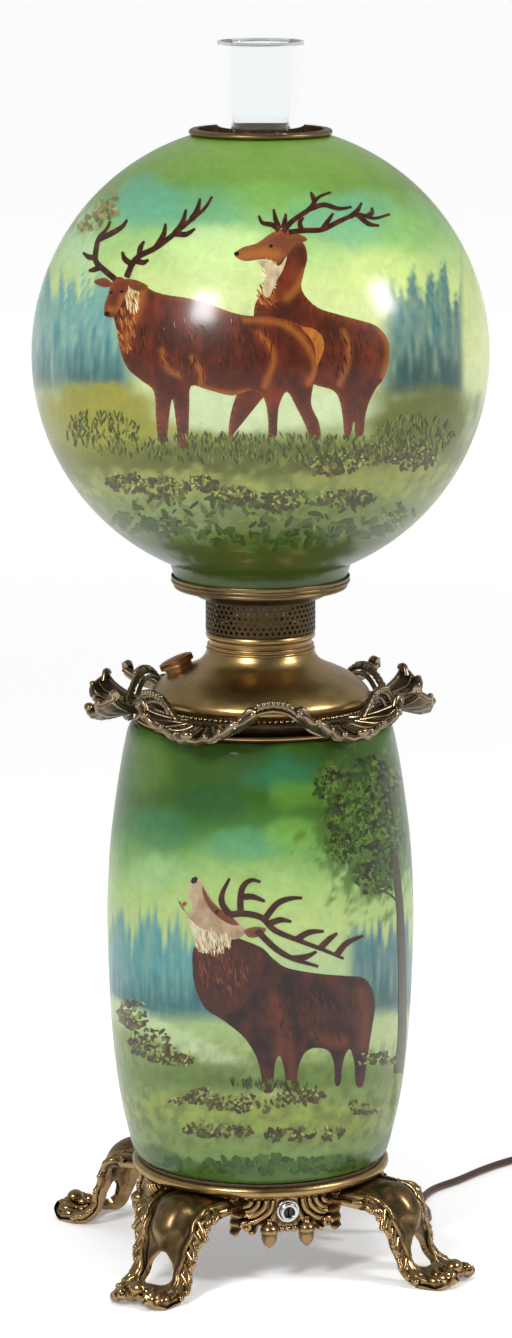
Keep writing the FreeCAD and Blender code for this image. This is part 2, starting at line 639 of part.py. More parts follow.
def lamp_holder():
    """Porcelain base on the draught tube, with its contact, screw shell and outer shell."""
    lead = s.lead_rad + 0.1
    low, mid, top = s.socket_low, s.socket_mid, s.socket_top
    spigot = s.draught_rad - s.tube_wall - 0.1
    turned("socket_base", [
        (lead, low - 6), (spigot, low - 6), (spigot, low), (s.socket_rad, low), (s.socket_rad, mid),
        (lead, mid)])
    ring("socket_shell", s.socket_rad - 1, s.socket_rad, mid, top)
    turned("screw_shell", [
        (s.screw_rad - 5, mid), (s.screw_rad + 0.7, mid), (s.screw_rad + 0.7, top - 3),
        (s.screw_rad, top - 3),
        (s.screw_rad, mid + 0.7), (s.screw_rad - 5, mid + 0.7)])
    turned("contact_disc", [(0, mid), (s.screw_rad - 7, mid), (3, mid + 1.6), (0, mid + 1.6)])
    lead_low = s.pipe_low + 6
    keep(cylinder("lead_core", s.lead_rad, mid - lead_low, V(0, 0, lead_low.value)), "inner_lead")


def bulb():
    """Tubular screw-cap bulb with its glass stem and filament."""
    foot = s.socket_mid + 2
    cap = s.screw_rad - 0.4
    rim = s.socket_top - 1
    turned("bulb_cap", [
        (0, foot), (4, foot), (cap, foot + 4), (cap, rim), (cap - 0.6, rim), (cap - 0.6, foot + 4.6),
        (4, foot + 0.8),
        (0, foot + 0.8)])
    neck = cap - 0.9
    wide = s.bulb_rad
    wall = 0.8
    turned("bulb_glass", [
        (neck, rim - 12), (neck, rim + 1.5), (wide, rim + 12), (wide, s.bulb_top - wide, wide),
        (0, s.bulb_top),
        (0, s.bulb_top - wall, wall - wide), (wide - wall, s.bulb_top - wide), (wide - wall, rim + 12.2),
        (neck - wall, rim + 1.7),
        (neck - wall, rim - 12)])
    stem = cylinder("bulb_stem", 3, 30, V(0, 0, foot.value + 1.2))
    posts = [cylinder(f"bulb_post{hand}", 0.5, 42, V(2 * hand, 0, foot.value + 31)) for hand in (1, -1)]
    wire = bind(doc.addObject("Part::Torus", "bulb_wire"), Radius1=2.6, Radius2=0.4)
    place(wire, V(0, 0, foot.value + 73))
    keep(fuse("bulb_filament_fuse", stem, *posts, wire), "bulb_filament")


# ---------------------------------------------------------------- rotary switch

def rotary_switch():
    """Canopy switch behind the front apron, with its threaded bushing, ring nut and turning stem."""
    up = s.switch_up.value
    front = s.apron_rad + 6
    back = s.apron_rad - 5
    way = V(0, -1, 0)
    barrel = cylinder("bushing_barrel", s.bushing_rad, front - back, V(0, -back.value, up), way)
    bore = cylinder("bushing_bore_tool", s.bushing_bore, front - back + 2, V(0, 1 - back.value, up), way)
    keep(cut("switch_bushing_cut", barrel, bore), "switch_bushing")
    nut_back = s.apron_rad + 0.1
    nut = cylinder("ring_nut_blank", s.ring_nut_rad, 3, V(0, -nut_back.value, up), way)
    nut_bore = cylinder("ring_nut_bore", s.bushing_rad, 5, V(0, 1 - nut_back.value, up), way)
    keep(cut("switch_nut_cut", nut, nut_bore), "switch_nut")
    case = bind(doc.addObject("Part::Box", "switch_case"), Length=20, Width=back - 44, Height=14.4)
    place(case, V(-10, -back.value, 30))
    recess = cylinder("switch_recess", s.bushing_bore, 6, V(0, 5 - back.value, up), way)
    keep(cut("switch_body_cut", case, recess), "switch_body")
    stem = cylinder("switch_stem_rod", s.stem_rad, front - back - 2.5 + 3, V(0, 3 - back.value, up), way)
    slot = bind(doc.addObject("Part::Box", "stem_slot"), Length=1, Width=3, Height=8)
    place(slot, V(-0.5, -front.value + 2, up - 4))
    keep(cut("switch_stem_cut", stem, slot), "switch_stem")


# ---------------------------------------------------------------- power cord

def smooth_path(route):
    """Straight runs along the route, joined by the largest tangent arcs that its corners allow."""
    edges = []
    radii = []
    last = route[0]
    for before, corner, after in zip(route, route[1:], route[2:]):
        run_in, run_out = corner - before, after - corner
        half_turn = run_in.getAngle(run_out) / 2
        setback = 0.45 * min(run_in.Length, run_out.Length)
        radii.append(setback / math.tan(half_turn))
        start = corner - run_in.normalize() * setback
        end = corner + run_out.normalize() * setback
        pull = (end + start) * 0.5 - corner
        middle = corner + pull.normalize() * (radii[-1] / math.cos(half_turn) - radii[-1])
        edges += [Part.LineSegment(last, start).toShape(), Part.Arc(start, middle, end).toShape()]
        last = end
    edges.append(Part.LineSegment(last, route[-1]).toShape())
    print("cord radii", [round(radius, 1) for radius in radii])
    return Part.Wire(edges)


def power_cord():
    """Gland, flex and its put-away coil, with the plug lying on the coil."""
    start, heading = gland_line()
    lean = FreeCAD.Rotation(Z_AXIS, heading)
    radius = s.cord_dia / 2
    turned("cord_gland", [
        (0, -9.2), (s.cord_dia + 1, -9.2), (s.cord_dia + 1, -8), (s.cord_dia, -8), (s.cord_dia, 4.4),
        (s.cord_dia + 2.2, 4.4), (s.cord_dia + 2.2, 6), (s.cord_dia, 7), (radius + 0.8, s.gland_long),
        (0, s.gland_long)])
    place(parts[-1], start, lean)

    lie = radius.value + 0.05
    exit_point = start + heading * s.gland_long.value
    route = [exit_point, exit_point + heading * 13, V(108, 7, 8), V(113, 20, lie + 0.6),
             V(112, 37, lie), V(111, 53, lie), V(115, 69, lie), V(126, 85, lie), V(144, 97, lie),
             V(161, 113, lie), V(179, 127, lie), V(199, 138, lie), V(218, 145.6, lie),
             V(229.6, 147.8, lie)]
    path = smooth_path(route)
    section = Part.Wire(Part.Circle(route[0], heading, radius.value).toShape())
    tube = path.makePipeShell([section], True, False)
    expected = math.pi * radius.value ** 2 * path.Length
    print(f"cord run {path.Length:.1f} mm, volume {tube.Volume:.0f} for {expected:.0f}")
    cord = doc.addObject("Part::Feature", "power_cord_tube")
    cord.Shape = tube
    keep(cord, "power_cord")

    half = s.coil_pitch * s.coil_turns / 2 + 0.3
    top = s.coil_pitch * s.coil_turns + 0.1
    bevel = 1.8
    turned("power_cord_coil", [
        (s.coil_mean - half + bevel, 0.05), (s.coil_mean + half - bevel, 0.05),
        (s.coil_mean + half, bevel),
        (s.coil_mean + half, top - bevel), (s.coil_mean + half - bevel, top),
        (s.coil_mean - half + bevel, top),
        (s.coil_mean - half, top - bevel), (s.coil_mean - half, bevel)])
    place(parts[-1], V(s.coil_x.value, s.coil_y.value, 0))

    foot = V(s.coil_x.value + 6, s.coil_y.value - 19, top.value + 0.1)
    block = new_body("plug_body_body")
    plan = sketch_on(block, "plug_plan", "XY_Plane")
    outline(plan, [(0, -4.5), (8, -11.5), (24, -11.5), (24, 11.5), (8, 11.5), (0, 4.5)])
    pad(block, plan, "plug_pad", 13)
    place(block, foot)
    keep(block, "plug_body")
    blades = []
    for hand in (1, -1):
        blade = bind(doc.addObject("Part::Box", f"plug_blade{hand}"), Length=16, Width=1.5, Height=6.3)
        blades.append(place(blade, foot + V(24, 6.3 * hand - 0.75, 3.4)))
    keep(fuse("plug_blades_fuse", *blades), "plug_blades")


def build():
    base_casting()
    base_fittings()
    body_rings()
    body_glass()
    crown_casting()
    font_cup()
    font_shells()
    font_collar()
    filler()
    burner()
    glassware()
    winder()
    lamp_holder()
    bulb()
    rotary_switch()
    power_cord()


def report_failures():
    """Stops the build if any object failed or any sub-part is empty, invalid or open."""
    failed = [o.Name for o in doc.Objects if {"Invalid", "Error"} & set(o.State)]
    if failed:
        raise RuntimeError(f"these objects failed to recompute: {failed}")
    for part in parts:
        shape = part.Shape
        if shape.isNull() or not shape.isValid() or not shape.Solids:
            raise RuntimeError(f"{part.Label} has no valid solid")


build()
doc.recompute()
report_failures()
os.makedirs("parts", exist_ok=True)
for part in parts:
    part.Shape.exportStep(f"parts/{part.Label}.step")
    print(part.Label, len(part.Shape.Solids), round(part.Shape.Volume))
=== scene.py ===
"""Looks of an electrified parlour oil lamp: painted glass, cast and spun brass, chimney and flex.

Shapes are made in millimetres in the row frame and turned into metres when a piece is finished.
"""

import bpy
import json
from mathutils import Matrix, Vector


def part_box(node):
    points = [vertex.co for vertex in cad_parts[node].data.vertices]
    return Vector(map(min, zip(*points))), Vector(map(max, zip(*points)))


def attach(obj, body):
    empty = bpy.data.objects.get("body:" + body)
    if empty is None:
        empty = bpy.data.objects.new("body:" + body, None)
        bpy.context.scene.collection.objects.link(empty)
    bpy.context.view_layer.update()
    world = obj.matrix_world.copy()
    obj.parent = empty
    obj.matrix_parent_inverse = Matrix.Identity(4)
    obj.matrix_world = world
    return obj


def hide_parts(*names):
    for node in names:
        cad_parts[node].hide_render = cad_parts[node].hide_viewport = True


bl_info = {
    "name": "Parlour Oil Lamp",
    "version": (1, 0, 0),
    "blender": (4, 5, 0),
    "location": "View3D > Sidebar > Oil Lamp",
    "description": "Builds the visible pieces of a painted parlour oil lamp around its CAD frame",
    "category": "Object",
}

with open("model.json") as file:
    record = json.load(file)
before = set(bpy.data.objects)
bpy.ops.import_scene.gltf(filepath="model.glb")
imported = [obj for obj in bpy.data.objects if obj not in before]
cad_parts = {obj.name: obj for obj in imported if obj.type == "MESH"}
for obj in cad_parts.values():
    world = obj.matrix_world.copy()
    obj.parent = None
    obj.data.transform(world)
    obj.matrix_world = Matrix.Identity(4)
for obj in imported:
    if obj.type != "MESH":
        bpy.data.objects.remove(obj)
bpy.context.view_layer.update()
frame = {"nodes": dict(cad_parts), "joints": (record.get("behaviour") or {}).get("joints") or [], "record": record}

import json
import math
import random

import bmesh
import bpy
import numpy as np
from mathutils import Matrix, Vector, noise

MM = 0.001
FULL = 2 * math.pi
UP = Vector((0, 0, 1))


# ---------------------------------------------------------------- sizes that come from the frame

def low_high(node):
    """Lowest and highest corners of a CAD node, in millimetres."""
    low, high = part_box(node)
    return low / MM, high / MM


def reach(node):
    """Half the width of a round CAD node, in millimetres."""
    low, high = low_high(node)
    return (high.x - low.x) / 2


def bottom(node):
    return low_high(node)[0].z


def top(node):
    return low_high(node)[1].z


GLOBE_RAD = reach("globe_shade")
GLOBE_HOLE = reach("globe_rim") - 2.8
GLOBE_UP = top("globe_shade") - math.sqrt(GLOBE_RAD ** 2 - GLOBE_HOLE ** 2)
FLOOR_VIEW = Vector((-0.6299, -2.7282, 0.868))
VIEW_PITCH = math.radians(10.7)
VIEW_YAW = math.radians(-13.0 + 0.051)
# The painted scenes face the same way as the lamp is usually looked at, turned 13 degrees left.
FRONT = Vector((-math.sin(math.radians(13)), -math.cos(math.radians(13)), 0))
RIGHT = Vector((math.cos(math.radians(13)), -math.sin(math.radians(13)), 0))


# ---------------------------------------------------------------- what a user would change

class LampSizes(bpy.types.PropertyGroup):
    flex_length: bpy.props.FloatProperty(
        name="Flex length", description="Length of the flex from its gland to its plug",
        default=1.8, min=1.0, max=3.0, unit="LENGTH")
    flex_width: bpy.props.FloatProperty(
        name="Flex width", description="Diameter of the flex", default=0.0045, unit="LENGTH")
    hole_rows: bpy.props.IntProperty(
        name="Burner hole rows", description="Rows of air holes in the burner's basket", default=6, min=1,
        subtype="UNSIGNED")
    holes_round: bpy.props.IntProperty(
        name="Burner holes round", description="Air holes in one row of the basket", default=56, min=12,
        subtype="UNSIGNED")
    petals: bpy.props.IntProperty(
        name="Crown petals", description="Flared petals on the cast crown", default=6, min=3,
        subtype="UNSIGNED")
    legs: bpy.props.IntProperty(
        name="Legs", description="Cast legs on the base", default=4, min=3, subtype="UNSIGNED")
    light_power: bpy.props.FloatProperty(
        name="Softbox power", description="Power of the stronger softbox", default=24, unit="POWER")


def tint_property(name, description, red, green, blue):
    return bpy.props.FloatVectorProperty(
        name=name, description=description, subtype="COLOR", size=3, min=0, max=1,
        default=(red, green, blue))


class LampTints(bpy.types.PropertyGroup):
    spun: tint_property("Spun brass", "Satin brass of the font, burner and rings", 0.37, 0.245, 0.10)
    cast: tint_property("Cast brass", "Worn brass of the base's high edges", 0.27, 0.175, 0.08)
    patina: tint_property("Patina", "Dark recesses of the castings", 0.035, 0.022, 0.012)
    crown: tint_property("Crown brass", "Antique brass of the crown's high edges", 0.18, 0.135, 0.082)
    aged: tint_property("Aged brass", "Dark brass of the burner, the shade ring and the rim", 0.17, 0.115,
                        0.052)
    hide: tint_property("Hide brown", "Dark brown of the painted stags", 0.055, 0.012, 0.005)
    flex: tint_property("Flex brown", "Brown of the flex and plug", 0.075, 0.034, 0.022)


def sizes():
    return bpy.context.scene.lamp_sizes


def tints():
    return bpy.context.scene.lamp_tints


# ---------------------------------------------------------------- finishes

def finish(name):
    """A new material with its node tree and its shader."""
    material = bpy.data.materials.new(name)
    material.use_nodes = True
    tree = material.node_tree
    return material, tree, tree.nodes["Principled BSDF"]


def add(tree, kind, **values):
    """Adds a node; values name its settings, or its input sockets when they hold spaces or capitals."""
    node = tree.nodes.new(kind)
    for key, value in values.items():
        socket = key.replace("_", " ")
        if socket in node.inputs and not hasattr(type(node), key):
            node.inputs[socket].default_value = value
        else:
            setattr(node, key, value)
    return node


def join(tree, source, target, out=0, into=0):
    tree.links.new(source.outputs[out], target.inputs[into])


def ramp(tree, source, stops):
    """A colour ramp over (place, colour) stops."""
    node = add(tree, "ShaderNodeValToRGB")
    elements = node.color_ramp.elements
    while len(elements) < len(stops):
        elements.new(0.5)
    for element, (place, colour) in zip(elements, stops):
        element.position = place
        element.color = (*colour, 1) if len(colour) == 3 else colour
    join(tree, source, node)
    return node


def grey(value):
    return (value, value, value)


def shaded(colour, factor):
    return tuple(min(1, part * factor) for part in colour)


def around_axis(tree):
    """Object coordinates turned into (radius, 0, height), so that a pattern runs round the lamp."""
    place = add(tree, "ShaderNodeTexCoord")
    parts = add(tree, "ShaderNodeSeparateXYZ")
    join(tree, place, parts, "Object")
    flat = add(tree, "ShaderNodeCombineXYZ")
    join(tree, parts, flat, 0, 0)
    join(tree, parts, flat, 1, 1)
    length = add(tree, "ShaderNodeVectorMath", operation="LENGTH")
    join(tree, flat, length)
    both = add(tree, "ShaderNodeCombineXYZ")
    join(tree, length, both, "Value", 0)
    join(tree, parts, both, 2, 2)
    return place, both


def bump(tree, shader, source, strength, distance):
    node = add(tree, "ShaderNodeBump", Strength=strength, Distance=distance)
    tree.links.new(source.outputs[0], node.inputs["Height"])
    tree.links.new(node.outputs[0], shader.inputs["Normal"])


def spun_brass(name, tint, roughness=0.3, lines=900, age=0.35):
    """Satin metal with fine turning lines, drifts of tarnish and small dull spots."""
    material, tree, shader = finish(name)
    shader.inputs["Metallic"].default_value = 1
    place, both = around_axis(tree)
    drift = add(tree, "ShaderNodeTexNoise", Scale=38, Detail=6, Roughness=0.6)
    join(tree, place, drift, "Object", "Vector")
    colour = ramp(tree, drift, [(0.30, shaded(tint, 1 - age)), (0.48, tint), (0.70, shaded(tint, 1.25))])
    join(tree, colour, shader, 0, "Base Color")
    turning = add(tree, "ShaderNodeTexNoise", Scale=lines, Detail=3)
    join(tree, both, turning, 0, "Vector")
    dull = add(tree, "ShaderNodeMapRange")
    dull.inputs["To Min"].default_value = roughness * 0.78
    dull.inputs["To Max"].default_value = roughness * 1.4
    join(tree, drift, dull)
    join(tree, dull, shader, 0, "Roughness")
    bump(tree, shader, turning, 0.12, 0.0002)
    return material


def cast_brass(name, high, deep, roughness=0.34, gloss=0.5):
    """Antiqued casting: dark lacquer in its recesses, rubbed bright on its edges and bosses."""
    material, tree, shader = finish(name)
    shader.inputs["Metallic"].default_value = 1
    place = add(tree, "ShaderNodeTexCoord")
    shape = add(tree, "ShaderNodeNewGeometry")
    wear = add(tree, "ShaderNodeTexNoise", Scale=95, Detail=7, Roughness=0.65)
    join(tree, place, wear, "Object", "Vector")
    mixed = add(tree, "ShaderNodeMath", operation="MULTIPLY_ADD")
    join(tree, wear, mixed)
    mixed.inputs[1].default_value = 0.16
    join(tree, shape, mixed, "Pointiness", 2)
    colour = ramp(tree, mixed, [(0.52, deep), (0.575, shaded(high, 0.4)), (0.61, high),
                                (0.68, shaded(high, 1.45))])
    join(tree, colour, shader, 0, "Base Color")
    dull = ramp(tree, mixed, [(0.5, grey(roughness + 0.26)), (0.6, grey(roughness)),
                              (0.7, grey(roughness * 0.6))])
    join(tree, dull, shader, 0, "Roughness")
    grain = add(tree, "ShaderNodeTexNoise", Scale=600, Detail=4)
    join(tree, place, grain, "Object", "Vector")
    bump(tree, shader, grain, gloss * 0.3, 0.0003)
    return material


def painted_glass(name, roughness=0.4):
    """Fired enamel on opal glass: the piece's own paint attribute, broken up by brush marks."""
    material, tree, shader = finish(name)
    place = add(tree, "ShaderNodeTexCoord")
    paint = add(tree, "ShaderNodeVertexColor", layer_name="paint")
    strokes = add(tree, "ShaderNodeTexNoise", Scale=130, Detail=5, Roughness=0.6, Distortion=0.8)
    join(tree, place, strokes, "Object", "Vector")
    streak = ramp(tree, strokes, [(0.3, grey(0.70)), (0.7, grey(0.90))])
    tinted = add(tree, "ShaderNodeMix", data_type="RGBA", blend_type="MULTIPLY")
    tinted.inputs[0].default_value = 0.85
    tree.links.new(paint.outputs[0], tinted.inputs[6])
    tree.links.new(streak.outputs[0], tinted.inputs[7])
    tree.links.new(tinted.outputs[2], shader.inputs["Base Color"])
    shader.inputs["Roughness"].default_value = roughness
    shader.inputs["Specular IOR Level"].default_value = 0.15
    shader.inputs["Coat Weight"].default_value = 0.45
    shader.inputs["Coat Roughness"].default_value = 0.17
    ripple = add(tree, "ShaderNodeTexNoise", Scale=22, Detail=2)
    join(tree, place, ripple, "Object", "Vector")
    bump(tree, shader, ripple, 0.05, 0.001)
    return material


def clear_glass(name, tint=(0.96, 0.985, 0.98)):
    material, tree, shader = finish(name)
    shader.inputs["Base Color"].default_value = (*tint, 1)
    shader.inputs["Transmission Weight"].default_value = 1
    shader.inputs["IOR"].default_value = 1.45
    place = add(tree, "ShaderNodeTexCoord")
    seeds = add(tree, "ShaderNodeTexNoise", Scale=60, Detail=2)
    join(tree, place, seeds, "Object", "Vector")
    rough = ramp(tree, seeds, [(0.4, grey(0.0)), (0.9, grey(0.06))])
    join(tree, rough, shader, 0, "Roughness")
    return material


def soft_finish(name, tint, roughness, scale, depth, spread=0.25, metallic=0):
    """Matt or moulded surface: speckled colour, uneven sheen and a fine grain."""
    material, tree, shader = finish(name)
    shader.inputs["Metallic"].default_value = metallic
    place = add(tree, "ShaderNodeTexCoord")
    speck = add(tree, "ShaderNodeTexNoise", Scale=scale, Detail=5)
    join(tree, place, speck, "Object", "Vector")
    colour = ramp(tree, speck, [(0.3, shaded(tint, 1 - spread)), (0.7, shaded(tint, 1 + spread))])
    join(tree, colour, shader, 0, "Base Color")
    dull = ramp(tree, speck, [(0.3, grey(roughness * 1.15)), (0.7, grey(roughness * 0.85))])
    join(tree, dull, shader, 0, "Roughness")
    bump(tree, shader, speck, 0.2, depth)
    return material


FINISHES = {}


def finish_of(slot):
    """The one material made for a slot of the record, made when it is first asked for."""
    if slot not in FINISHES:
        tint = tints()
        FINISHES[slot] = {
            "spun_brass": lambda: spun_brass("spun_brass", tint.spun),
            "aged_brass": lambda: spun_brass("aged_brass", tint.aged, 0.36, 800, 0.5),
            "basket_brass": lambda: spun_brass("basket_brass", shaded(tint.aged, 0.42)[:3], 0.42, 800, 0.5),
            "base_brass": lambda: cast_brass("base_brass", tint.cast, tint.patina),
            "antique_casting": lambda: cast_brass("antique_casting", tint.crown, tint.patina, 0.4),
            "painted_opal": lambda: painted_glass("painted_opal"),
            "clear_glass": lambda: clear_glass("clear_glass"),
            "steel": lambda: spun_brass("zinc_steel", (0.5, 0.5, 0.5), 0.38, 700),
            "nickel": lambda: spun_brass("worn_nickel", (0.55, 0.53, 0.50), 0.24, 1200),
            "felt": lambda: soft_finish("felt", (0.10, 0.06, 0.04), 0.95, 900, 0.0006),
            "cork": lambda: soft_finish("cork", (0.36, 0.2, 0.09), 0.9, 700, 0.0004, 0.4),
            "porcelain": lambda: soft_finish("porcelain", (0.78, 0.75, 0.68), 0.18, 60, 0.0001, 0.05),
            "flex": lambda: soft_finish("flex", tint.flex, 0.42, 500, 0.0001),
            "plug_moulding": lambda: soft_finish("plug_moulding", tint.flex, 0.38, 400, 0.0002),
            "switch_moulding": lambda: soft_finish("phenolic", (0.016, 0.012, 0.010), 0.3, 300, 0.0001, 0.4),
            "filament": lambda: soft_finish("tungsten", (0.35, 0.34, 0.32), 0.35, 900, 0.0001, 0.2, 1),
        }[slot]()
    return FINISHES[slot]


# ---------------------------------------------------------------- shapes

def turn(profile, steps=160):
    """A closed section of (radius, height) points spun about the lamp's axis."""
    bm = bmesh.new()
    corners = [bm.verts.new((radius, 0, up)) for radius, up in profile]
    edges = [bm.edges.new(pair) for pair in zip(corners, corners[1:] + corners[:1])]
    bmesh.ops.spin(bm, geom=corners + edges, cent=(0, 0, 0), axis=UP, dvec=(0, 0, 0), angle=FULL,
                   steps=steps, use_merge=True)
    bmesh.ops.remove_doubles(bm, verts=bm.verts, dist=0.001)
    bmesh.ops.recalc_face_normals(bm, faces=bm.faces)
    return bm


def arc(centre, radius, start, end, count=8):
    """Points of an arc in a section, its angles in degrees from the outward direction."""
    angles = [math.radians(start + (end - start) * step / count) for step in range(count + 1)]
    return [(centre[0] + radius * math.cos(a), centre[1] + radius * math.sin(a)) for a in angles]


def flowing(points, closed=False, count=5):
    """A Catmull-Rom line through the points, as Vectors."""
    nodes = [Vector(point) for point in points]
    if closed:
        nodes = [nodes[-1], *nodes, nodes[0], nodes[1]]
    else:
        nodes = [nodes[0] * 2 - nodes[1], *nodes, nodes[-1] * 2 - nodes[-2]]
    line = []
    for before, start, end, after in zip(nodes, nodes[1:], nodes[2:], nodes[3:]):
        for step in range(count):
            t = step / count
            line.append(0.5 * (2 * start + (end - before) * t + (2 * before - 5 * start + 4 * end - after)
                               * t ** 2
                               + (3 * start - before - 3 * end + after) * t ** 3))
    return line if closed else line + [nodes[-2]]


def soften_edges(bm, width, sharpest=28, segments=2):
    edges = [edge for edge in bm.edges
             if len(edge.link_faces) == 2 and edge.calc_face_angle(0) > math.radians(sharpest)]
    bmesh.ops.bevel(bm, geom=edges, offset=width, offset_type="OFFSET", segments=segments, profile=0.5,
                    affect="EDGES", material=-1, clamp_overlap=True)


def strand(bm, points, radius, sides=8):
    """Adds a round strand along points; radius is a number or a function of 0 to 1 along it."""
    curve = bpy.data.curves.new("strand", "CURVE")
    curve.dimensions = "3D"
    curve.bevel_depth = 1
    curve.bevel_resolution = max(1, sides // 4)
    curve.use_fill_caps = True
    spline = curve.splines.new("POLY")
    spline.points.add(len(points) - 1)
    for index, (point, place) in enumerate(zip(spline.points, points)):
        point.co = (*place, 1)
        share = index / max(1, len(points) - 1)
        point.radius = radius(share) if callable(radius) else radius
    holder = bpy.data.objects.new("strand", curve)
    mesh = bpy.data.meshes.new_from_object(holder)
    bm.from_mesh(mesh)
    bpy.data.objects.remove(holder)
    bpy.data.curves.remove(curve)
    bpy.data.meshes.remove(mesh)


def bead(bm, place, radius, stretch=(1, 1, 1), segments=10):
    """Adds a small closed ball, stretched along the axes."""
    rings = max(6, segments - 4)
    made = bmesh.ops.create_uvsphere(bm, u_segments=segments, v_segments=rings, radius=radius)
    matrix = Matrix.Translation(place) @ Matrix.Diagonal((*stretch, 1))
    bmesh.ops.transform(bm, matrix=matrix, verts=made["verts"])
    return made["verts"]


def polar(radius, angle, up):
    """A point from its distance to the axis, its angle in degrees from +X and its height."""
    turned = math.radians(angle)
    return Vector((radius * math.cos(turned), radius * math.sin(turned), up))


def repeated(bm, count, start=0):
    """Copies all of bm round the axis, count times in all, the first turned by start degrees."""
    bmesh.ops.rotate(bm, cent=(0, 0, 0), matrix=Matrix.Rotation(math.radians(start), 3, "Z"), verts=bm.verts)
    first = list(bm.verts) + list(bm.edges) + list(bm.faces)
    for copy in range(1, count):
        made = bmesh.ops.duplicate(bm, geom=first)["geom"]
        corners = [item for item in made if isinstance(item, bmesh.types.BMVert)]
        spin = Matrix.Rotation(FULL * copy / count, 3, "Z")
        bmesh.ops.rotate(bm, cent=(0, 0, 0), matrix=spin, verts=corners)


def join_shapes(bm, other):
    """Moves the whole of another shape into bm."""
    mesh = bpy.data.meshes.new("joined")
    other.to_mesh(mesh)
    other.free()
    bm.from_mesh(mesh)
    bpy.data.meshes.remove(mesh)


def finished(bm, name, body, slot, nodes=(), sharpest=38, material=None):
    """Turns a shape in millimetres into a named piece that rides on a body."""
    bmesh.ops.scale(bm, vec=(MM, MM, MM), verts=bm.verts)
    mesh = bpy.data.meshes.new(name)
    bm.to_mesh(mesh)
    bm.free()
    piece = bpy.data.objects.new(name, mesh)
    bpy.context.scene.collection.objects.link(piece)
    mesh.materials.append(material or finish_of(slot))
    mesh.polygons.foreach_set("use_smooth", [True] * len(mesh.polygons))
    mesh.set_sharp_from_angle(angle=math.radians(sharpest))
    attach(piece, body)
    if nodes:
        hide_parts(*nodes)
    return piece


def relief_sheet(across, along, surface, hole=None, wall=3.0):
    """A thick sheet from a grid: surface(s, t) places s in 0..1 and t in -1..1, hole(s, t) pierces it."""
    bm = bmesh.new()
    bmesh.ops.create_grid(bm, x_segments=along, y_segments=across, size=1)
    where = {vert: ((vert.co.x + 1) / 2, vert.co.y) for vert in bm.verts}
    if hole:
        def pierced(face):
            middle = face.calc_center_median()
            return hole((middle.x + 1) / 2, middle.y)
        bmesh.ops.delete(bm, geom=[face for face in bm.faces if pierced(face)], context="FACES")
    kept = [vert for vert in bm.verts]
    for vert in kept:
        vert.co = surface(*where[vert])
    rim = [vert for vert in kept if hole and vert.is_boundary
           and 0.01 < where[vert][0] < 0.99 and abs(where[vert][1]) < 0.98]
    for _ in range(4):
        bmesh.ops.smooth_vert(bm, verts=rim, factor=0.5, use_axis_x=True, use_axis_y=True, use_axis_z=True)
    bmesh.ops.recalc_face_normals(bm, faces=bm.faces)
    middle = max(bm.faces, key=lambda face: face.calc_center_median().z)
    if middle.normal.z < 0:
        bmesh.ops.reverse_faces(bm, faces=bm.faces)
    bmesh.ops.solidify(bm, geom=list(bm.faces), thickness=wall)
    bmesh.ops.recalc_face_normals(bm, faces=bm.faces)
    return bm


def hump(value, reach_out=1.0):
    """A smooth bump: 1 at 0, falling to 0 at reach_out."""
    share = min(1.0, abs(value) / reach_out)
    return (1 - share * share) ** 2


# ---------------------------------------------------------------- stage

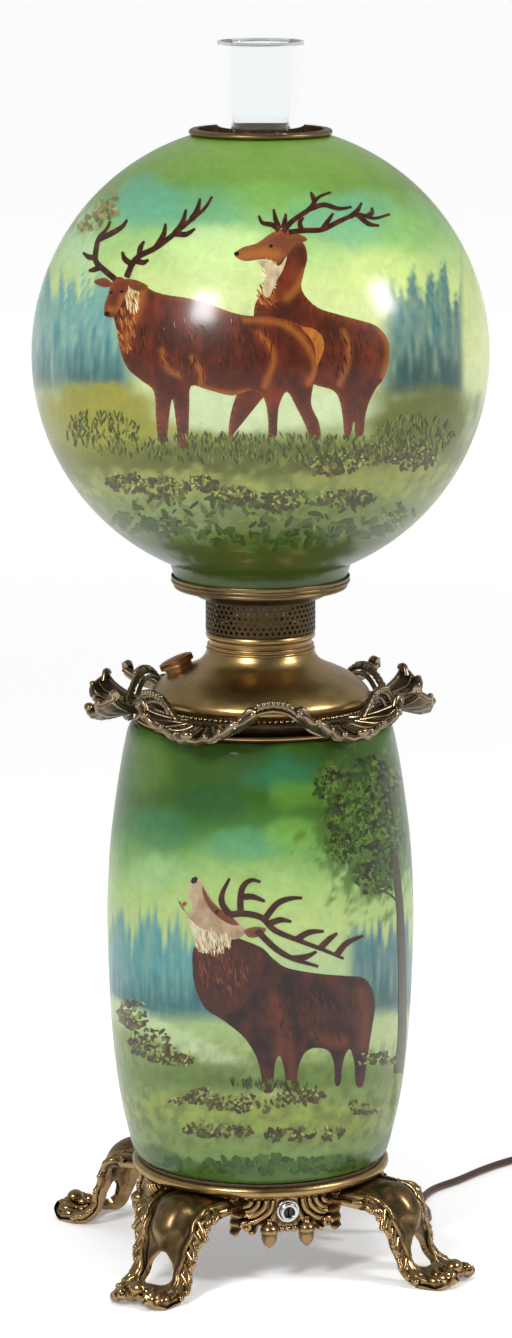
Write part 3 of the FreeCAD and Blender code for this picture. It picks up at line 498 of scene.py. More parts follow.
def build_stage():
    """Pale floor, soft studio lights, and the camera."""
    bm = bmesh.new()
    bmesh.ops.create_grid(bm, x_segments=1, y_segments=1, size=30)
    mesh = bpy.data.meshes.new("floor")
    bm.to_mesh(mesh)
    bm.free()
    floor = bpy.data.objects.new("floor", mesh)
    bpy.context.scene.collection.objects.link(floor)
    material, tree, shader = finish("pale_floor")
    shader.inputs["Base Color"].default_value = (0.90, 0.905, 0.91, 1)
    shader.inputs["Roughness"].default_value = 0.6
    shader.inputs["Specular IOR Level"].default_value = 0.2
    shader.inputs["Emission Color"].default_value = (1, 1, 1, 1)
    place = add(tree, "ShaderNodeTexCoord")
    length = add(tree, "ShaderNodeVectorMath", operation="LENGTH")
    join(tree, place, length, "Object")
    glow = add(tree, "ShaderNodeMapRange", interpolation_type="SMOOTHSTEP")
    glow.inputs["From Min"].default_value = 0.5
    glow.inputs["From Max"].default_value = 3.5
    glow.inputs["To Min"].default_value = 0.26
    glow.inputs["To Max"].default_value = 0.66
    join(tree, length, glow, "Value")
    join(tree, glow, shader, 0, "Emission Strength")
    mesh.materials.append(material)

    world = bpy.data.worlds.new("studio")
    bpy.context.scene.world = world
    world.use_nodes = True
    tree = world.node_tree
    back = tree.nodes["Background"]
    place = add(tree, "ShaderNodeTexCoord")
    parts = add(tree, "ShaderNodeSeparateXYZ")
    join(tree, place, parts, "Generated")
    light = add(tree, "ShaderNodeMapRange")
    light.inputs["From Min"].default_value = -0.75
    light.inputs["From Max"].default_value = 0.6
    light.inputs["To Min"].default_value = 0.08
    light.inputs["To Max"].default_value = 0.5
    join(tree, parts, light, "Y")
    join(tree, light, back, 0, "Strength")
    back.inputs["Color"].default_value = (1, 1, 1, 1)

    middle = Vector((0, 0, 0.36))
    power = sizes().light_power
    for name, angle, height, distance, width, share in (
        ("softbox_left", -30, 32, 1.9, 0.34, 1.0), ("softbox_right", 69, 30, 1.9, 0.34, 0.8),
        ("overhead", 10, 82, 2.2, 1.6, 1.2)):
        lamp = bpy.data.lights.new(name, "AREA")
        lamp.shape = "RECTANGLE"
        lamp.size, lamp.size_y = width, width * 1.25
        lamp.energy = power * share
        holder = bpy.data.objects.new(name, lamp)
        bpy.context.scene.collection.objects.link(holder)
        around, above = math.radians(angle - 13), math.radians(height)
        way = Vector((math.sin(around) * math.cos(above), -math.cos(around) * math.cos(above),
                      math.sin(above)))
        holder.visible_glossy = name != "overhead"
        holder.location = middle + way * distance
        holder.rotation_euler = way.to_track_quat("Z", "Y").to_euler()

    camera = bpy.data.cameras.new("camera")
    camera.sensor_width = 36
    camera.lens = 136.06
    camera.clip_end = 100
    eye = bpy.data.objects.new("camera", camera)
    eye.location = FLOOR_VIEW
    eye.rotation_euler = (math.radians(90) - VIEW_PITCH, 0, VIEW_YAW)
    bpy.context.scene.collection.objects.link(eye)
    bpy.context.scene.camera = eye
    bpy.context.scene.view_settings.view_transform = "Standard"


# ---------------------------------------------------------------- flex, gland and plug

LIE = 2.3
COIL_MIDDLE = (240, 118)
COIL_RADII = (31.5, 27.0, 22.5)
TURN_POINTS = 14


def flex_route():
    """Route of the flex in millimetres: gland, floor, coil and plug, with the gland's direction."""
    dip = math.radians(30)
    heading = Vector((math.cos(dip), 0, -math.sin(dip)))
    exit_point = Vector((66.5, 0, 36)) + heading * 24
    route = [exit_point, exit_point + heading * 13, (102, 9, 9), (106, 22, LIE + 0.6), (108, 37, LIE),
             (109, 53, LIE),
             (115, 69, LIE), (126, 85, LIE), (144, 97, LIE), (161, 113, LIE), (179, 127, LIE),
             (199, 138, LIE),
             (218, 145.6, LIE)]
    lift = low_high("power_cord_coil")[1].z / 3 - 0.02
    turns = [(radius,
              layer) for layer in range(3) for radius in (COIL_RADII if layer % 2 == 0 else COIL_RADII[::-1])]
    total = len(turns) * TURN_POINTS
    for step in range(total - 3):
        share = step / TURN_POINTS
        here = int(share)
        blend = max(0.0, (share - here - 0.75) / 0.25)
        after = turns[min(here + 1, len(turns) - 1)]
        radius = turns[here][0] + (after[0] - turns[here][0]) * blend
        layer = turns[here][1] + (after[1] - turns[here][1]) * blend
        angle = 106 - 360 * share
        route.append(polar(radius, angle, LIE + layer * lift) + Vector((*COIL_MIDDLE, 0)))
    return [Vector(point) for point in route], heading


def build_flex():
    """Brown flex with its gland, coil and plug."""
    route, heading = flex_route()
    plug_low, plug_high = low_high("plug_body")
    axis_up = (plug_low.z + plug_high.z) / 2
    entry = Vector((plug_low.x, (plug_low.y + plug_high.y) / 2, axis_up))
    route += [entry + Vector((-19, 8, -3.5)), entry + Vector((-12, 1.2, -1.0)), entry + Vector((-4, 0, 0)),
              entry]
    width = sizes().flex_width
    curve = bpy.data.curves.new("power_flex", "CURVE")
    curve.dimensions = "3D"
    curve.bevel_depth = width / 2
    curve.bevel_resolution = 4
    curve.resolution_u = 8
    curve.use_fill_caps = True
    spline = curve.splines.new("NURBS")
    spline.points.add(len(route) - 1)
    for point, place in zip(spline.points, route):
        point.co = (*(place * MM), 1)
    spline.order_u = 3
    spline.use_endpoint_u = True
    flex = bpy.data.objects.new("power_flex", curve)
    bpy.context.scene.collection.objects.link(flex)
    curve.materials.append(finish_of("flex"))
    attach(flex, "lamp_base")
    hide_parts("power_cord", "power_cord_coil")

    gland = turn([(0.01, -9.2), *arc((4.9, -8.6), 0.6, -90, 90, 4), (4.5, -8), (4.5, 4.4),
                  *arc((6.1, 5.2), 0.7, -90, 90, 4),
                  (4.9, 6.6), (4.6, 8), (4.3, 9.2), (4.45, 9.6), (4.3, 10), (3.9, 12), (4.05, 12.4),
                  (3.9, 12.8), (3.5, 15),
                  (3.65, 15.4), (3.5, 15.8), (3.2, 18.5), (3.3, 18.9), (3.15, 19.3), (2.9, 23.4), (2.6, 24),
                  (0.01, 24)], 40)
    lean = heading.to_track_quat("Z", "Y").to_matrix().to_4x4()
    bmesh.ops.transform(gland, matrix=Matrix.Translation((66.5, 0, 36)) @ lean, verts=gland.verts)
    relief = finished(gland, "flex_gland", "lamp_base", "switch_moulding", ["cord_gland"])

    length, half = plug_high.x - plug_low.x, (plug_high.y - plug_low.y) / 2
    plug = bmesh.new()
    made = bmesh.ops.create_cone(plug, cap_ends=True, segments=32, radius1=half, radius2=half, depth=length)
    bmesh.ops.rotate(plug, cent=(0, 0, 0), matrix=Matrix.Rotation(math.radians(90), 3, "Y"),
                     verts=made["verts"])
    bmesh.ops.subdivide_edges(plug,
                              edges=[e for e in plug.edges if abs(e.verts[0].co.x - e.verts[1].co.x) > 1],
                              cuts=14, use_grid_fill=True)
    tall = (plug_high.z - plug_low.z) / 2
    for vert in plug.verts:
        share = (vert.co.x + length / 2) / length
        waist = 0.36 + 0.64 * hump(1 - min(1, share * 2.1)) - 0.05 * hump(share - 0.62, 0.16)
        vert.co.y *= waist
        vert.co.z *= tall / half * (0.55 + 0.45 * min(1, share * 2.4))
        vert.co.z = max(-tall, min(tall * 0.93, vert.co.z * 1.25))
    soften_edges(plug, 0.7, 40, 3)
    bmesh.ops.translate(plug, vec=(plug_low.x + length / 2, entry.y, axis_up), verts=plug.verts)
    moulding = finished(plug, "flex_plug", "lamp_base", "plug_moulding", ["plug_body"])

    blades = bmesh.new()
    blade_low, blade_high = low_high("plug_blades")
    for side in (-1, 1):
        made = bmesh.ops.create_cube(blades, size=1)["verts"]
        size = (blade_high.x - blade_low.x, 1.5, blade_high.z - blade_low.z)
        bmesh.ops.scale(blades, vec=size, verts=made)
        place = ((blade_low.x + blade_high.x) / 2, entry.y + side * 6.3, (blade_low.z + blade_high.z) / 2)
        bmesh.ops.translate(blades, vec=place, verts=made)
    soften_edges(blades, 0.35)
    pins = finished(blades, "flex_blades", "lamp_base", "nickel", ["plug_blades"])


# ---------------------------------------------------------------- font, rings, burner, chimney

def build_font():
    """Spun font shoulder, neck collar, filler cap and the burner's bead."""
    rim, seat = reach("font_dome"), bottom("font_dome")
    neck_up = top("font_dome")
    shoulder = flowing([(30.3, neck_up), (31.6, neck_up - 3.1), (34.4, neck_up - 6.4), (39.4, neck_up - 9.3),
                        (45.5, neck_up - 11.8), (52, neck_up - 15.0), (57.5, neck_up - 19.2),
                        (rim - 0.9, neck_up - 23.2),
                        (rim, neck_up - 26), (rim - 0.5, neck_up - 28.2), (rim - 2.4, seat + 0.1)], count=6)
    outside = [(point.x, point.y) for point in shoulder]
    inside = [(rim - 9.4, seat + 0.1), (rim - 9.4, seat + 1), (rim - 3.2, seat + 1),
              (rim - 1.4, neck_up - 26),
              (rim - 4, neck_up - 21.6), (51.2, neck_up - 15.9), (39.2, neck_up - 10.2),
              (33.8, neck_up - 7.2),
              (30.4, neck_up - 3.2), (29.4, neck_up)]
    finished(turn(outside + inside, 192), "font_shoulder", "font", "spun_brass", ["font_dome"], 50)

    low, high = bottom("font_collar"), top("font_collar")
    collar = [(26.8, low), (30.2, low), *arc((29.9, low + 0.9), 0.8, -70, 80, 5), (29.3, low + 1.9),
              (29.3, low + 2.4),
              *arc((29.4, low + 3.2), 0.75, -80, 80, 5), (29.0, low + 4.2), (28.8, low + 5), (28.7, high),
              (26.8, high)]
    finished(turn(collar, 160), "neck_collar", "font", "spun_brass", ["font_collar"])

    low, high = bottom("burner_collar"), top("burner_collar")
    middle = (low + high) / 2
    bead_ring = [(26.8, low), (28.6, low), *arc((28.45, middle), 2.45, -78, 78, 10), (29.6, high),
                 (26.8, high)]
    finished(turn(bead_ring, 160), "burner_bead", "font", "spun_brass", ["burner_collar"])

    joint = next(j for j in frame["joints"] if j["name"] == "filler_cap_turn")
    cap = turn([(0.01, 5.1), (8.7, 5.1), (8.7, 2.3), *arc((9.5, 2.8), 0.5, -90, 0, 3),
                *arc((9.3, 5.2), 0.7, 0, 90, 4),
                (8.3, 6.3), (7.9, 6.0), (7.2, 6.0), (6.7, 6.6), (3, 7.0), (0.01, 7.1)], 72)
    for vert in cap.verts:
        if 2.6 < vert.co.z < 5.3 and vert.co.xy.length > 9.4:
            angle = math.atan2(vert.co.y, vert.co.x)
            vert.co.xy *= 1 - 0.022 * (1 + math.cos(36 * angle))
    lean = Vector(joint["axis"]).to_track_quat("Z", "Y").to_matrix().to_4x4()
    bmesh.ops.transform(cap, matrix=Matrix.Translation(Vector(joint["pos_m"]) / MM) @ lean, verts=cap.verts)
    copper = spun_brass("filler_brass", (0.30, 0.135, 0.05), 0.38, 900)
    finished(cap, "filler_lid", "oil_cap", "spun_brass", ["filler_cap"], material=copper)


def build_rings():
    """Rolled seat ring under the body, its collar above, and the globe's crimped rim."""
    low, out = bottom("seat_ring"), reach("seat_ring")
    roll = 3.1
    ring = [(56, low), (out - roll, low), *arc((out - roll, low + roll), roll, -88, 92, 14),
            (out - 9, low + 2 * roll),
            (62.4, low + 2 * roll), (62.4, low + 2 * roll - 1.2), (66.2, low + 2 * roll - 1.2),
            (66.2, low + 1.2),
            (56, low + 1.2)]
    finished(turn(ring, 192), "body_seat_ring", "lamp_base", "spun_brass", ["seat_ring"])

    low, high, out = bottom("body_collar"), top("body_collar"), reach("body_collar")
    collar = [(60.6, low), (out - 1.4, low), *arc((out - 1.2, low + 1.2), 1.2, -90, 110, 8),
              (out - 2.6, low + 1.2),
              (60.6, low + 1.2)]
    finished(turn(collar, 192), "body_mouth_collar", "lamp_base", "spun_brass", ["body_collar"])

    crimps = 40
    high = top("globe_rim")
    edge = top("globe_shade") + 0.02
    skirt = GLOBE_HOLE - 1.25
    section = [(skirt - 0.8, bottom("globe_rim")), (skirt - 0.1, bottom("globe_rim"))]
    section += [(skirt - 0.1, bottom("globe_rim") + step * 2.6) for step in range(1, 5)]
    section += [(skirt - 0.1, edge), (GLOBE_HOLE + 1.2, edge),
                *arc((GLOBE_HOLE + 1.2, edge + 1.6), 1.58, -88, 90, 10),
                (GLOBE_HOLE - 0.6, high - 0.5), (skirt + 0.3, high - 0.2), (skirt - 0.8, high)]
    section += [(skirt - 0.8, edge - step * 2.6) for step in range(0, 5)]
    rim = turn(section, crimps * 6)
    for vert in rim.verts:
        depth = edge - vert.co.z
        if depth > 1:
            angle = math.atan2(vert.co.y, vert.co.x)
            wave = math.cos(crimps * angle)
            vert.co.xy *= 1 - 0.016 * min(1, depth / 5) * (1 + wave)
            if depth > 11:
                vert.co.z += 1.5 * (1 - abs(math.sin(crimps * angle / 2)))
    finished(rim, "globe_rim_ring", "shade", "spun_brass", ["globe_rim"], 60, finish_of("aged_brass"))


def build_burner():
    """Perforated air basket and the shade ring above it."""
    rows, around = sizes().hole_rows, sizes().holes_round
    low, high, out = bottom("air_basket"), top("air_basket"), reach("air_basket")
    bm = bmesh.new()
    margin = 0.9
    cell_up = (high - low - 2 * margin) / rows
    cell_wide = FULL * out / around
    hole = min(cell_up, cell_wide) * 0.34
    for row in range(rows):
        for column in range(around):
            centre = Vector(((column + 0.5 * (row % 2)) * cell_wide, margin + (row + 0.5) * cell_up, 0))
            ring = bmesh.ops.create_circle(bm, segments=8, radius=hole)["verts"]
            bmesh.ops.translate(bm, vec=centre, verts=ring)
            frame_ring = bmesh.ops.create_circle(bm, segments=8, radius=1)["verts"]
            for vert in frame_ring:
                side = max(abs(vert.co.x), abs(vert.co.y))
                flat = Vector((round(vert.co.x / side), round(vert.co.y / side), 0))
                vert.co = centre + Vector((flat.x * cell_wide / 2, flat.y * cell_up / 2, 0))
            loops = {edge for vert in ring + frame_ring for edge in vert.link_edges}
            bmesh.ops.bridge_loops(bm, edges=list(loops))
    bmesh.ops.remove_doubles(bm, verts=bm.verts, dist=0.02)
    for level, way in ((margin, -1), (high - low - margin, 1)):
        border = [edge for edge in bm.edges if edge.is_boundary
                  and all(abs(vert.co.y - level) < 0.01 for vert in edge.verts)]
        made = bmesh.ops.extrude_edge_only(bm, edges=border)["geom"]
        corners = [item for item in made if isinstance(item, bmesh.types.BMVert)]
        bmesh.ops.translate(bm, vec=(0, way * margin, 0), verts=corners)
    for vert in bm.verts:
        vert.co = polar(out - 0.1, math.degrees(vert.co.x / out), low + vert.co.y)
    bmesh.ops.remove_doubles(bm, verts=bm.verts, dist=0.02)
    bmesh.ops.recalc_face_normals(bm, faces=bm.faces)
    bmesh.ops.solidify(bm, geom=list(bm.faces), thickness=0.7)
    bmesh.ops.recalc_face_normals(bm, faces=bm.faces)
    finished(bm, "burner_basket", "font", "spun_brass", ["air_basket"], 50, finish_of("basket_brass"))

    low, high, out = bottom("shade_ring"), top("shade_ring"), reach("shade_ring")
    section = [(29, low), (31.6, low), *arc((32.4, low + 1.2), 1.1, -110, 60, 6), (34.6, low + 1.4),
               (39, low + 3.6),
               (43, low + 5.2), (46.4, low + 6.0), *arc((47.6, low + 6.9), 1.3, -70, 40, 6),
               (48.7, low + 8.2),
               *arc((out - 1.1, low + 9.6), 1.1, -50, 60, 6), (out - 0.5, low + 10.9),
               (out - 0.1, low + 11.6),
               (out, high - 0.3), (out - 0.2, high), (out - 0.7, high), (out - 0.8, low + 9.2),
               (out - 1.8, low + 8.3),
               (out - 5, low + 7.1), (35.8, low + 1.05), (29, low + 1.0)]
    finished(turn(section, 192), "shade_carrier", "font", "spun_brass", ["shade_ring"], 45,
             finish_of("aged_brass"))


def build_chimney():
    """Clear chimney with its bulge low down and a fire-polished top."""
    low, high = low_high("chimney")[0].z, low_high("chimney")[1].z
    wall = 1.5
    outline = flowing([(32.6, low), (32.6, low + 8), (32.7, low + 16), (33.6, low + 26), (33.2, low + 38),
                       (30.4, low + 54), (27, low + 70), (24.7, low + 88), (24, low + 112), (24, low + 160),
                       (24, high - 60), (24, high - 4), (24, high - 0.75)], count=5)
    outside = [(point.x, point.y) for point in outline]
    inside = [(radius - wall, up) for radius, up in outside]
    section = outside + arc((24 - wall / 2, high - 0.75), wall / 2, 0, 180, 6)[1:-1] + inside[::-1]
    finished(turn(section, 128), "lamp_chimney", "chimney_glass", "clear_glass", ["chimney"], 60)


# ---------------------------------------------------------------- crown

def petal_place(s, t):
    """Surface of one open petal: s from the ring to its lobed rim, t across it."""
    wide = 12.5 + 10.5 * s ** 0.8
    lobes = 0.5 + 0.5 * math.cos(3 * math.pi * t)
    out = 67 + (24.5 + 5.5 * lobes * s) * s ** 0.85
    wing = abs(t) ** 1.7
    up = 320.5 - 6.5 * s * (1 - wing) + 10.5 * s ** 1.4 * wing
    up += 1.1 * s * math.cos(9 * math.pi * t) * (1 - 0.3 * s)
    up += 3.2 * max(0, s - 0.8) / 0.2 * (0.3 + 0.7 * lobes)
    return polar(out, wide * t, up)


def build_crown():
    """Cast crown with pierced petals, roped edges and beaded arches."""
    count = sizes().petals
    bm = relief_sheet(34, 26, petal_place,
                      hole=lambda s, t: ((s - 0.28) / 0.17) ** 2 + (t / 0.46) ** 2 < 1, wall=3.0)
    rim = [petal_place(1.0, -1 + step / 16) + Vector((0, 0, -0.8)) for step in range(33)]
    strand(bm, rim, lambda share: 1.7 + 0.35 * math.cos(60 * share), 8)
    for side in (-1, 1):
        edge = [petal_place(step / 10, side * 0.98) + Vector((0, 0, -0.6)) for step in range(11)]
        strand(bm, edge, lambda share: 1.9 - 0.2 * share, 8)
        for vein_number in range(1, 5):
            lean = side * 0.2 * vein_number
            vein = [petal_place(0.34 + 0.07 * step, lean * (0.75 + 0.03 * step))
                    + Vector((0, 0, 0.5)) for step in range(10)]
            strand(bm, vein, lambda share: 1.35 - 0.5 * share, 6)
            bead(bm, petal_place(0.99, side * 0.24 * vein_number) + Vector((0.6, 0, 0.3)), 2.0,
                 (1, 1.15, 0.9), 8)
        curl = [petal_place(1 - 0.10 * share_in, side * (1.0 - 0.16 * share_in))
                + Vector((0, 0, 0.6 + 2.6 * math.sin(3.0 * share_in)))
                for share_in in (0.125 * step for step in range(9))]
        strand(bm, curl, lambda share: 2.5 - 0.9 * share, 8)
    spine = [petal_place(0.42 + 0.058 * step, 0) + Vector((0, 0, 0.7)) for step in range(10)]
    strand(bm, spine, lambda share: 1.8 - 0.7 * share, 8)
    bead(bm, petal_place(0.98, 0) + Vector((0.5, 0, 1.0)), 3.0, (1, 1.3, 0.9))

    half = 180 / count
    for side in (-1, 1):
        rope = flowing([polar(77, side * 5, 316.5), polar(76, side * 9, 317.5), polar(75, side * 14, 321.5),
                        polar(74, side * 19, 327), polar(73, side * 24, 331.2),
                        polar(72.6, side * half, 332.6)], count=6)
        strand(bm, rope, lambda share: 2.1 + 0.35 * math.cos(75 * share), 8)
        inner_rope = flowing([polar(71, side * 8, 313.8), polar(71, side * 13, 317),
                              polar(71, side * 18, 322.5),
                              polar(70.5, side * 24, 327.4), polar(70.2, side * half, 328.8)], count=6)
        strand(bm, inner_rope, 1.5, 8)
    bridge = []
    for step in range(13):
        side = -1 + step / 6
        bridge.append(polar(75.5, side * 7, 315.2 - 0.6 * (1 - side * side)))
    strand(bm, bridge, lambda share: 2.5 + 0.6 * math.cos(28 * share), 8)
    for step in range(-3, 4):
        bead(bm, polar(74.6, half + step * 2.1, 333.6 - 0.14 * step * step), 1.75, segments=8)
    for step in range(-2, 3):
        bead(bm, polar(78.6, step * 3.1, 316.4 + 0.25 * step * step), 2.2, (1, 1, 0.8), 8)
    turned_by = -7.6 if count == 6 else 0
    repeated(bm, count, turned_by)

    foot, ring_top = bottom("crown_casting"), 320.7
    ring = turn([(60.6, foot), (64, foot), (66.0, foot + 2.2), (67.6, foot + 4.6),
                 *arc((66.6, 319.2), 1.9, -40, 70, 6),
                 (65.2, ring_top), (64.4, ring_top), (64.1, 319.6), (55.5, 319.5), (55.5, 317.1),
                 (60.6, 317.1)], 192)
    # Painted shade: the recessed seat ring under the petals gets a near-black casting finish, its patina darkened
    # further to stand for the shade that falls there.
    patina_and_shade = cast_brass("seat_patina_and_painted_shade", shaded(tints().patina, 1.6), shaded(tints().patina, 0.6), 0.55)
    finished(ring, "crown_seat", "lamp_base", "antique_casting", material=patina_and_shade)
    around = 132
    bead_ring = bmesh.new()
    bead(bead_ring, polar(65.4, 0, 321.0), 1.45, segments=8)
    repeated(bead_ring, around)
    join_shapes(bm, bead_ring)
    finished(bm, "crown", "lamp_base", "antique_casting", ["crown_casting"], 70)


# ---------------------------------------------------------------- base

LEG_LINE = [(58, 48.4), (66, 49.6), (76, 50.0), (86, 48.8), (94, 44.2), (99.5, 37), (102.5, 29),
            (104.5, 21.5),
            (107.5, 14.2), (112.5, 8.6), (118, 5.6), (124, 5.0), (128.5, 6.4), (130.6, 9.0)]
LEG_WIDTHS = [(0, 29), (0.12, 28), (0.22, 25.5), (0.33, 22.5), (0.45, 19.5), (0.55, 18), (0.66, 18.5),
              (0.78, 20),
              (0.88, 18.5), (0.95, 14), (1, 8)]


LEG_PATH = flowing(LEG_LINE, count=8)


def along_leg(share):
    """Point and direction at a share of the leg's path."""
    place = share * (len(LEG_PATH) - 1)
    index = min(int(place), len(LEG_PATH) - 2)
    start, end = LEG_PATH[index], LEG_PATH[index + 1]
    return start.lerp(end, place - index), (end - start).normalized()


def leg_place(s, t):
    """Surface of one leg: s from the plate down to the toe's curl, t across the leg."""
    centre, way = along_leg(s)
    outward = Vector((-way.y, way.x))
    half = np.interp(s, [place for place, _ in LEG_WIDTHS], [width for _, width in LEG_WIDTHS])
    half *= 1 + 0.045 * math.cos(math.pi * 15 * s) * (s > 0.2) * (s < 0.75)
    boss = 5.2 * hump(((s - 0.33) / 0.17) ** 2 + (t / 0.56) ** 2, 1.0)
    rib = 1.5 * math.cos(math.pi * (abs(t) - 0.72) * 7.5) * hump(abs(t) - 0.78, 0.34) * min(1, (1 - s) * 5)
    flute = 0.8 * math.cos(26 * s + 5 * abs(t)) * hump(abs(t) - 0.98, 0.3)
    toe_grooves = 1.1 * math.cos(4 * math.pi * t) * hump(s - 0.88, 0.2)
    camber = -4.6 * t * t * (1 - 0.6 * hump(s - 0.85, 0.3))
    lift = boss + rib + flute + toe_grooves + camber
    return Vector((centre.x + outward.x * lift, half * t, centre.y + outward.y * lift))


def apron_low(angle):
    """Height of an apron's scalloped lower edge at an angle from the middle of its side."""
    share = abs(angle) / 27
    return 32.6 + 3.2 * hump(share - 0.30, 0.3) - 3.0 * share ** 2 + 1.0 * math.cos(angle * 0.9)


def apron_place(s, t):
    """Surface of an apron: s from its lower edge to the plate, t from leg to leg."""
    angle = 27 * t
    low = apron_low(angle)
    up = low + (48.6 - low) * s
    fan_out = math.hypot((abs(angle) - 22) * 1.15, up - 49)
    ridge = 1.7 * math.cos(fan_out * 1.25) * hump(abs(t) - 0.62, 0.6)
    out = 66.6 + 1.6 * (1 - s) + ridge + 2.5 * abs(t) ** 3
    return polar(out, angle, up)


def acorn(bm, place):
    """Adds a hanging acorn: a hatched cup, a smooth nut and its tip."""
    nut = turn([(0.01, -9.2), (0.7, -8.4), (1.7, -7.6), (3.4, -5.8), (4.3, -3.4), (4.5, -1.4), (4.2, 0),
                (4.9, 0.5),
                (5.2, 1.8), (4.6, 3.6), (3.2, 5.0), (1.7, 5.9), (1.5, 8.6), (0.01, 8.8)], 20)
    for vert in nut.verts:
        if 0.2 < vert.co.z < 5:
            angle = math.atan2(vert.co.y, vert.co.x)
            vert.co.xy *= 1 + 0.05 * math.cos(10 * angle + 2.5 * vert.co.z)
    bmesh.ops.translate(nut, vec=place, verts=nut.verts)
    join_shapes(bm, nut)


def build_base():
    """Cast base: four legs on leafy feet, fluted aprons and hanging acorns."""
    count = sizes().legs
    legs = relief_sheet(44, 110, leg_place,
                        hole=lambda s, t: ((s - 0.60) / 0.095) ** 2
                        + (t / (0.34 + 1.6 * abs(s - 0.52))) ** 2 < 1, wall=3.2)
    for side in (-1, 1):
        scroll = [leg_place(0.16 + 0.05 * step, side * (0.93 - 0.012 * step)) for step in range(16)]
        strand(legs, flowing(scroll, count=3), lambda share: 1.5 + 0.9 * hump(share - 0.55, 0.6), 8)
        rib = [leg_place(0.2 + 0.045 * step, side * (0.66 + 0.1
                                                     * math.sin(step * 0.33))) for step in range(13)]
        strand(legs, flowing(rib, count=3), lambda share: 1.5 - 0.5 * share, 8)
        for step in range(9):
            share = 0.20 + 0.058 * step
            root, edge = leg_place(share, side * 0.80), leg_place(share + 0.045, side * 1.0)
            tip = leg_place(share + 0.085, side * (1.06 + 0.04 * math.sin(step))) + Vector((0.6, 0, 0.4))
            strand(legs, flowing([root, edge, tip], count=4), lambda share: 2.2 - 0.6 * share, 8)
            bead(legs, tip, 1.9, (1, 1, 1), 8)
        for share, across, size in ((0.84, 0.78, 4.0), (0.90, 0.66, 4.4), (0.95, 0.62, 3.8),
                                    (0.80, 0.30, 2.6)):
            bead(legs, leg_place(share, side * across) + Vector((0, 0, 0.8)), size, (1.25, 0.85, 0.85), 10)
        petiole = [leg_place(0.76 + 0.045 * step, side * (0.16 + 0.08 * step))
                   + Vector((0, 0, 1.4)) for step in range(6)]
        strand(legs, flowing(petiole, count=3), lambda share: 1.3 + 0.7 * share, 8)
    bead(legs, leg_place(0.965, 0) + Vector((-0.6, 0, 1.6)), 5.0, (0.95, 1.15, 0.9), 12)
    bead(legs, leg_place(0.86, 0) + Vector((0, 0, 1.2)), 3.6, (1.5, 0.9, 0.8), 10)
    for vert in legs.verts:
        vert.co.z = max(0.0, vert.co.z)
    turned_by = 180 / count
    repeated(legs, count, turned_by)

    aprons = relief_sheet(16, 84, lambda s, t: apron_place((t + 1) / 2, 2 * s - 1), wall=2.6)
    for side in (-1, 1):
        for turn_number in range(4):
            sweep = [polar(68.6 + 0.25 * turn_number, side * (22 - (15 - 3.4 * turn_number) * math.cos(a)),
                           48.5 - (13.5 - 3.2 * turn_number)
                           * math.sin(a)) for a in (0.16 * step for step in range(9))]
            strand(aprons, flowing(sweep, count=3), lambda share: 1.15 + 0.5 * hump(share - 0.5, 0.6), 8)
        curl = [polar(70.5, side * (19.5 + 2.6 * math.cos(a) * (1 - a / 9)),
                      33.5 + 2.8 * math.sin(a) * (1 - a / 9))
                for a in (0.5 * step for step in range(12))]
        strand(aprons, curl, lambda share: 1.7 - 0.6 * share, 8)
        acorn(aprons, polar(69.5, side * 8.9, 29.6))
    for step in range(-1, 2):
        bead(aprons, polar(68.4, step * 3.0, 31.4), 1.9, (0.9, 1, 1), 8)
    repeated(aprons, count)
    join_shapes(legs, aprons)
    plate = turn([(44, 46.5), (65.6, 46.5), (66.4, 47.2), (66.4, 49.9), (65.8, 50.45), (44, 50.45)], 128)
    join_shapes(legs, plate)
    finished(legs, "cast_base", "lamp_base", "base_brass", ["base_casting"], 75)


def build_switch():
    """Threaded nickel bushing of the rotary switch, and its ring nut."""
    up = (bottom("switch_bushing") + top("switch_bushing")) / 2
    front = -low_high("switch_bushing")[0].y
    threads = []
    for step in range(16):
        threads += [(4.8, step * 0.68), (4.45, step * 0.68 + 0.34)]
    bushing = turn([(3.3, 0), *threads[1:], (4.6, 10.9), (4.3, 11), (3.5, 11), (3.3, 10.8)], 64)
    face = Matrix.Rotation(math.radians(90), 4, "X")
    back = front - 11
    bmesh.ops.transform(bushing, matrix=Matrix.Translation((0, -back, up)) @ face, verts=bushing.verts)
    finished(bushing, "switch_barrel", "lamp_base", "nickel", ["switch_bushing"], 50)
    nut_back = -low_high("switch_nut")[1].y
    nut = turn([(4.8, 0), (6.3, 0), *arc((6.2, 0.6), 0.58, -60, 0, 3), *arc((6.0, 2.2), 0.78, 0, 80, 5),
                (5.2, 3.0), (4.8, 2.7)], 72)
    for vert in nut.verts:
        angle = math.atan2(vert.co.y, vert.co.x)
        if vert.co.xy.length > 6.1:
            vert.co.xy *= 1 - 0.02 * (1 + math.cos(24 * angle))
    bmesh.ops.transform(nut, matrix=Matrix.Translation((0, -nut_back, up)) @ face, verts=nut.verts)
    finished(nut, "switch_ring_nut", "lamp_base", "nickel", ["switch_nut"], 50)


def dress_frame():
    """Gives every CAD node that stays in sight the finish of its slot."""
    slots = {part["node"]: part["material_slot"] for part in frame["record"]["subparts"]}
    for name, node in frame["nodes"].items():
        finish_material = finish_of(slots[name])
        if node.material_slots:
            for holder in node.material_slots:
                holder.material = finish_material
        else:
            node.data.materials.append(finish_material)


# ---------------------------------------------------------------- painting

def rgb(red, green, blue):
    """A painter's colour in 0 to 255 as linear light."""
    return np.array([((part / 255 + 0.055) / 1.055) ** 2.4 if part > 10 else part / 255 / 12.92
                     for part in (red, green, blue)])


def ease(values):
    values = np.clip(values, 0, 1)
    return values * values * (3 - 2 * values)


def clouds(points, scale, seed):
    """Smooth noise, about -1 to 1, at many points given in millimetres."""
    shift = Vector((seed * 7.3, seed * 3.1, seed * 11.7))
    return np.array([noise.fractal(Vector(point) / scale + shift, 0.9, 2.1, 4) for point in points])


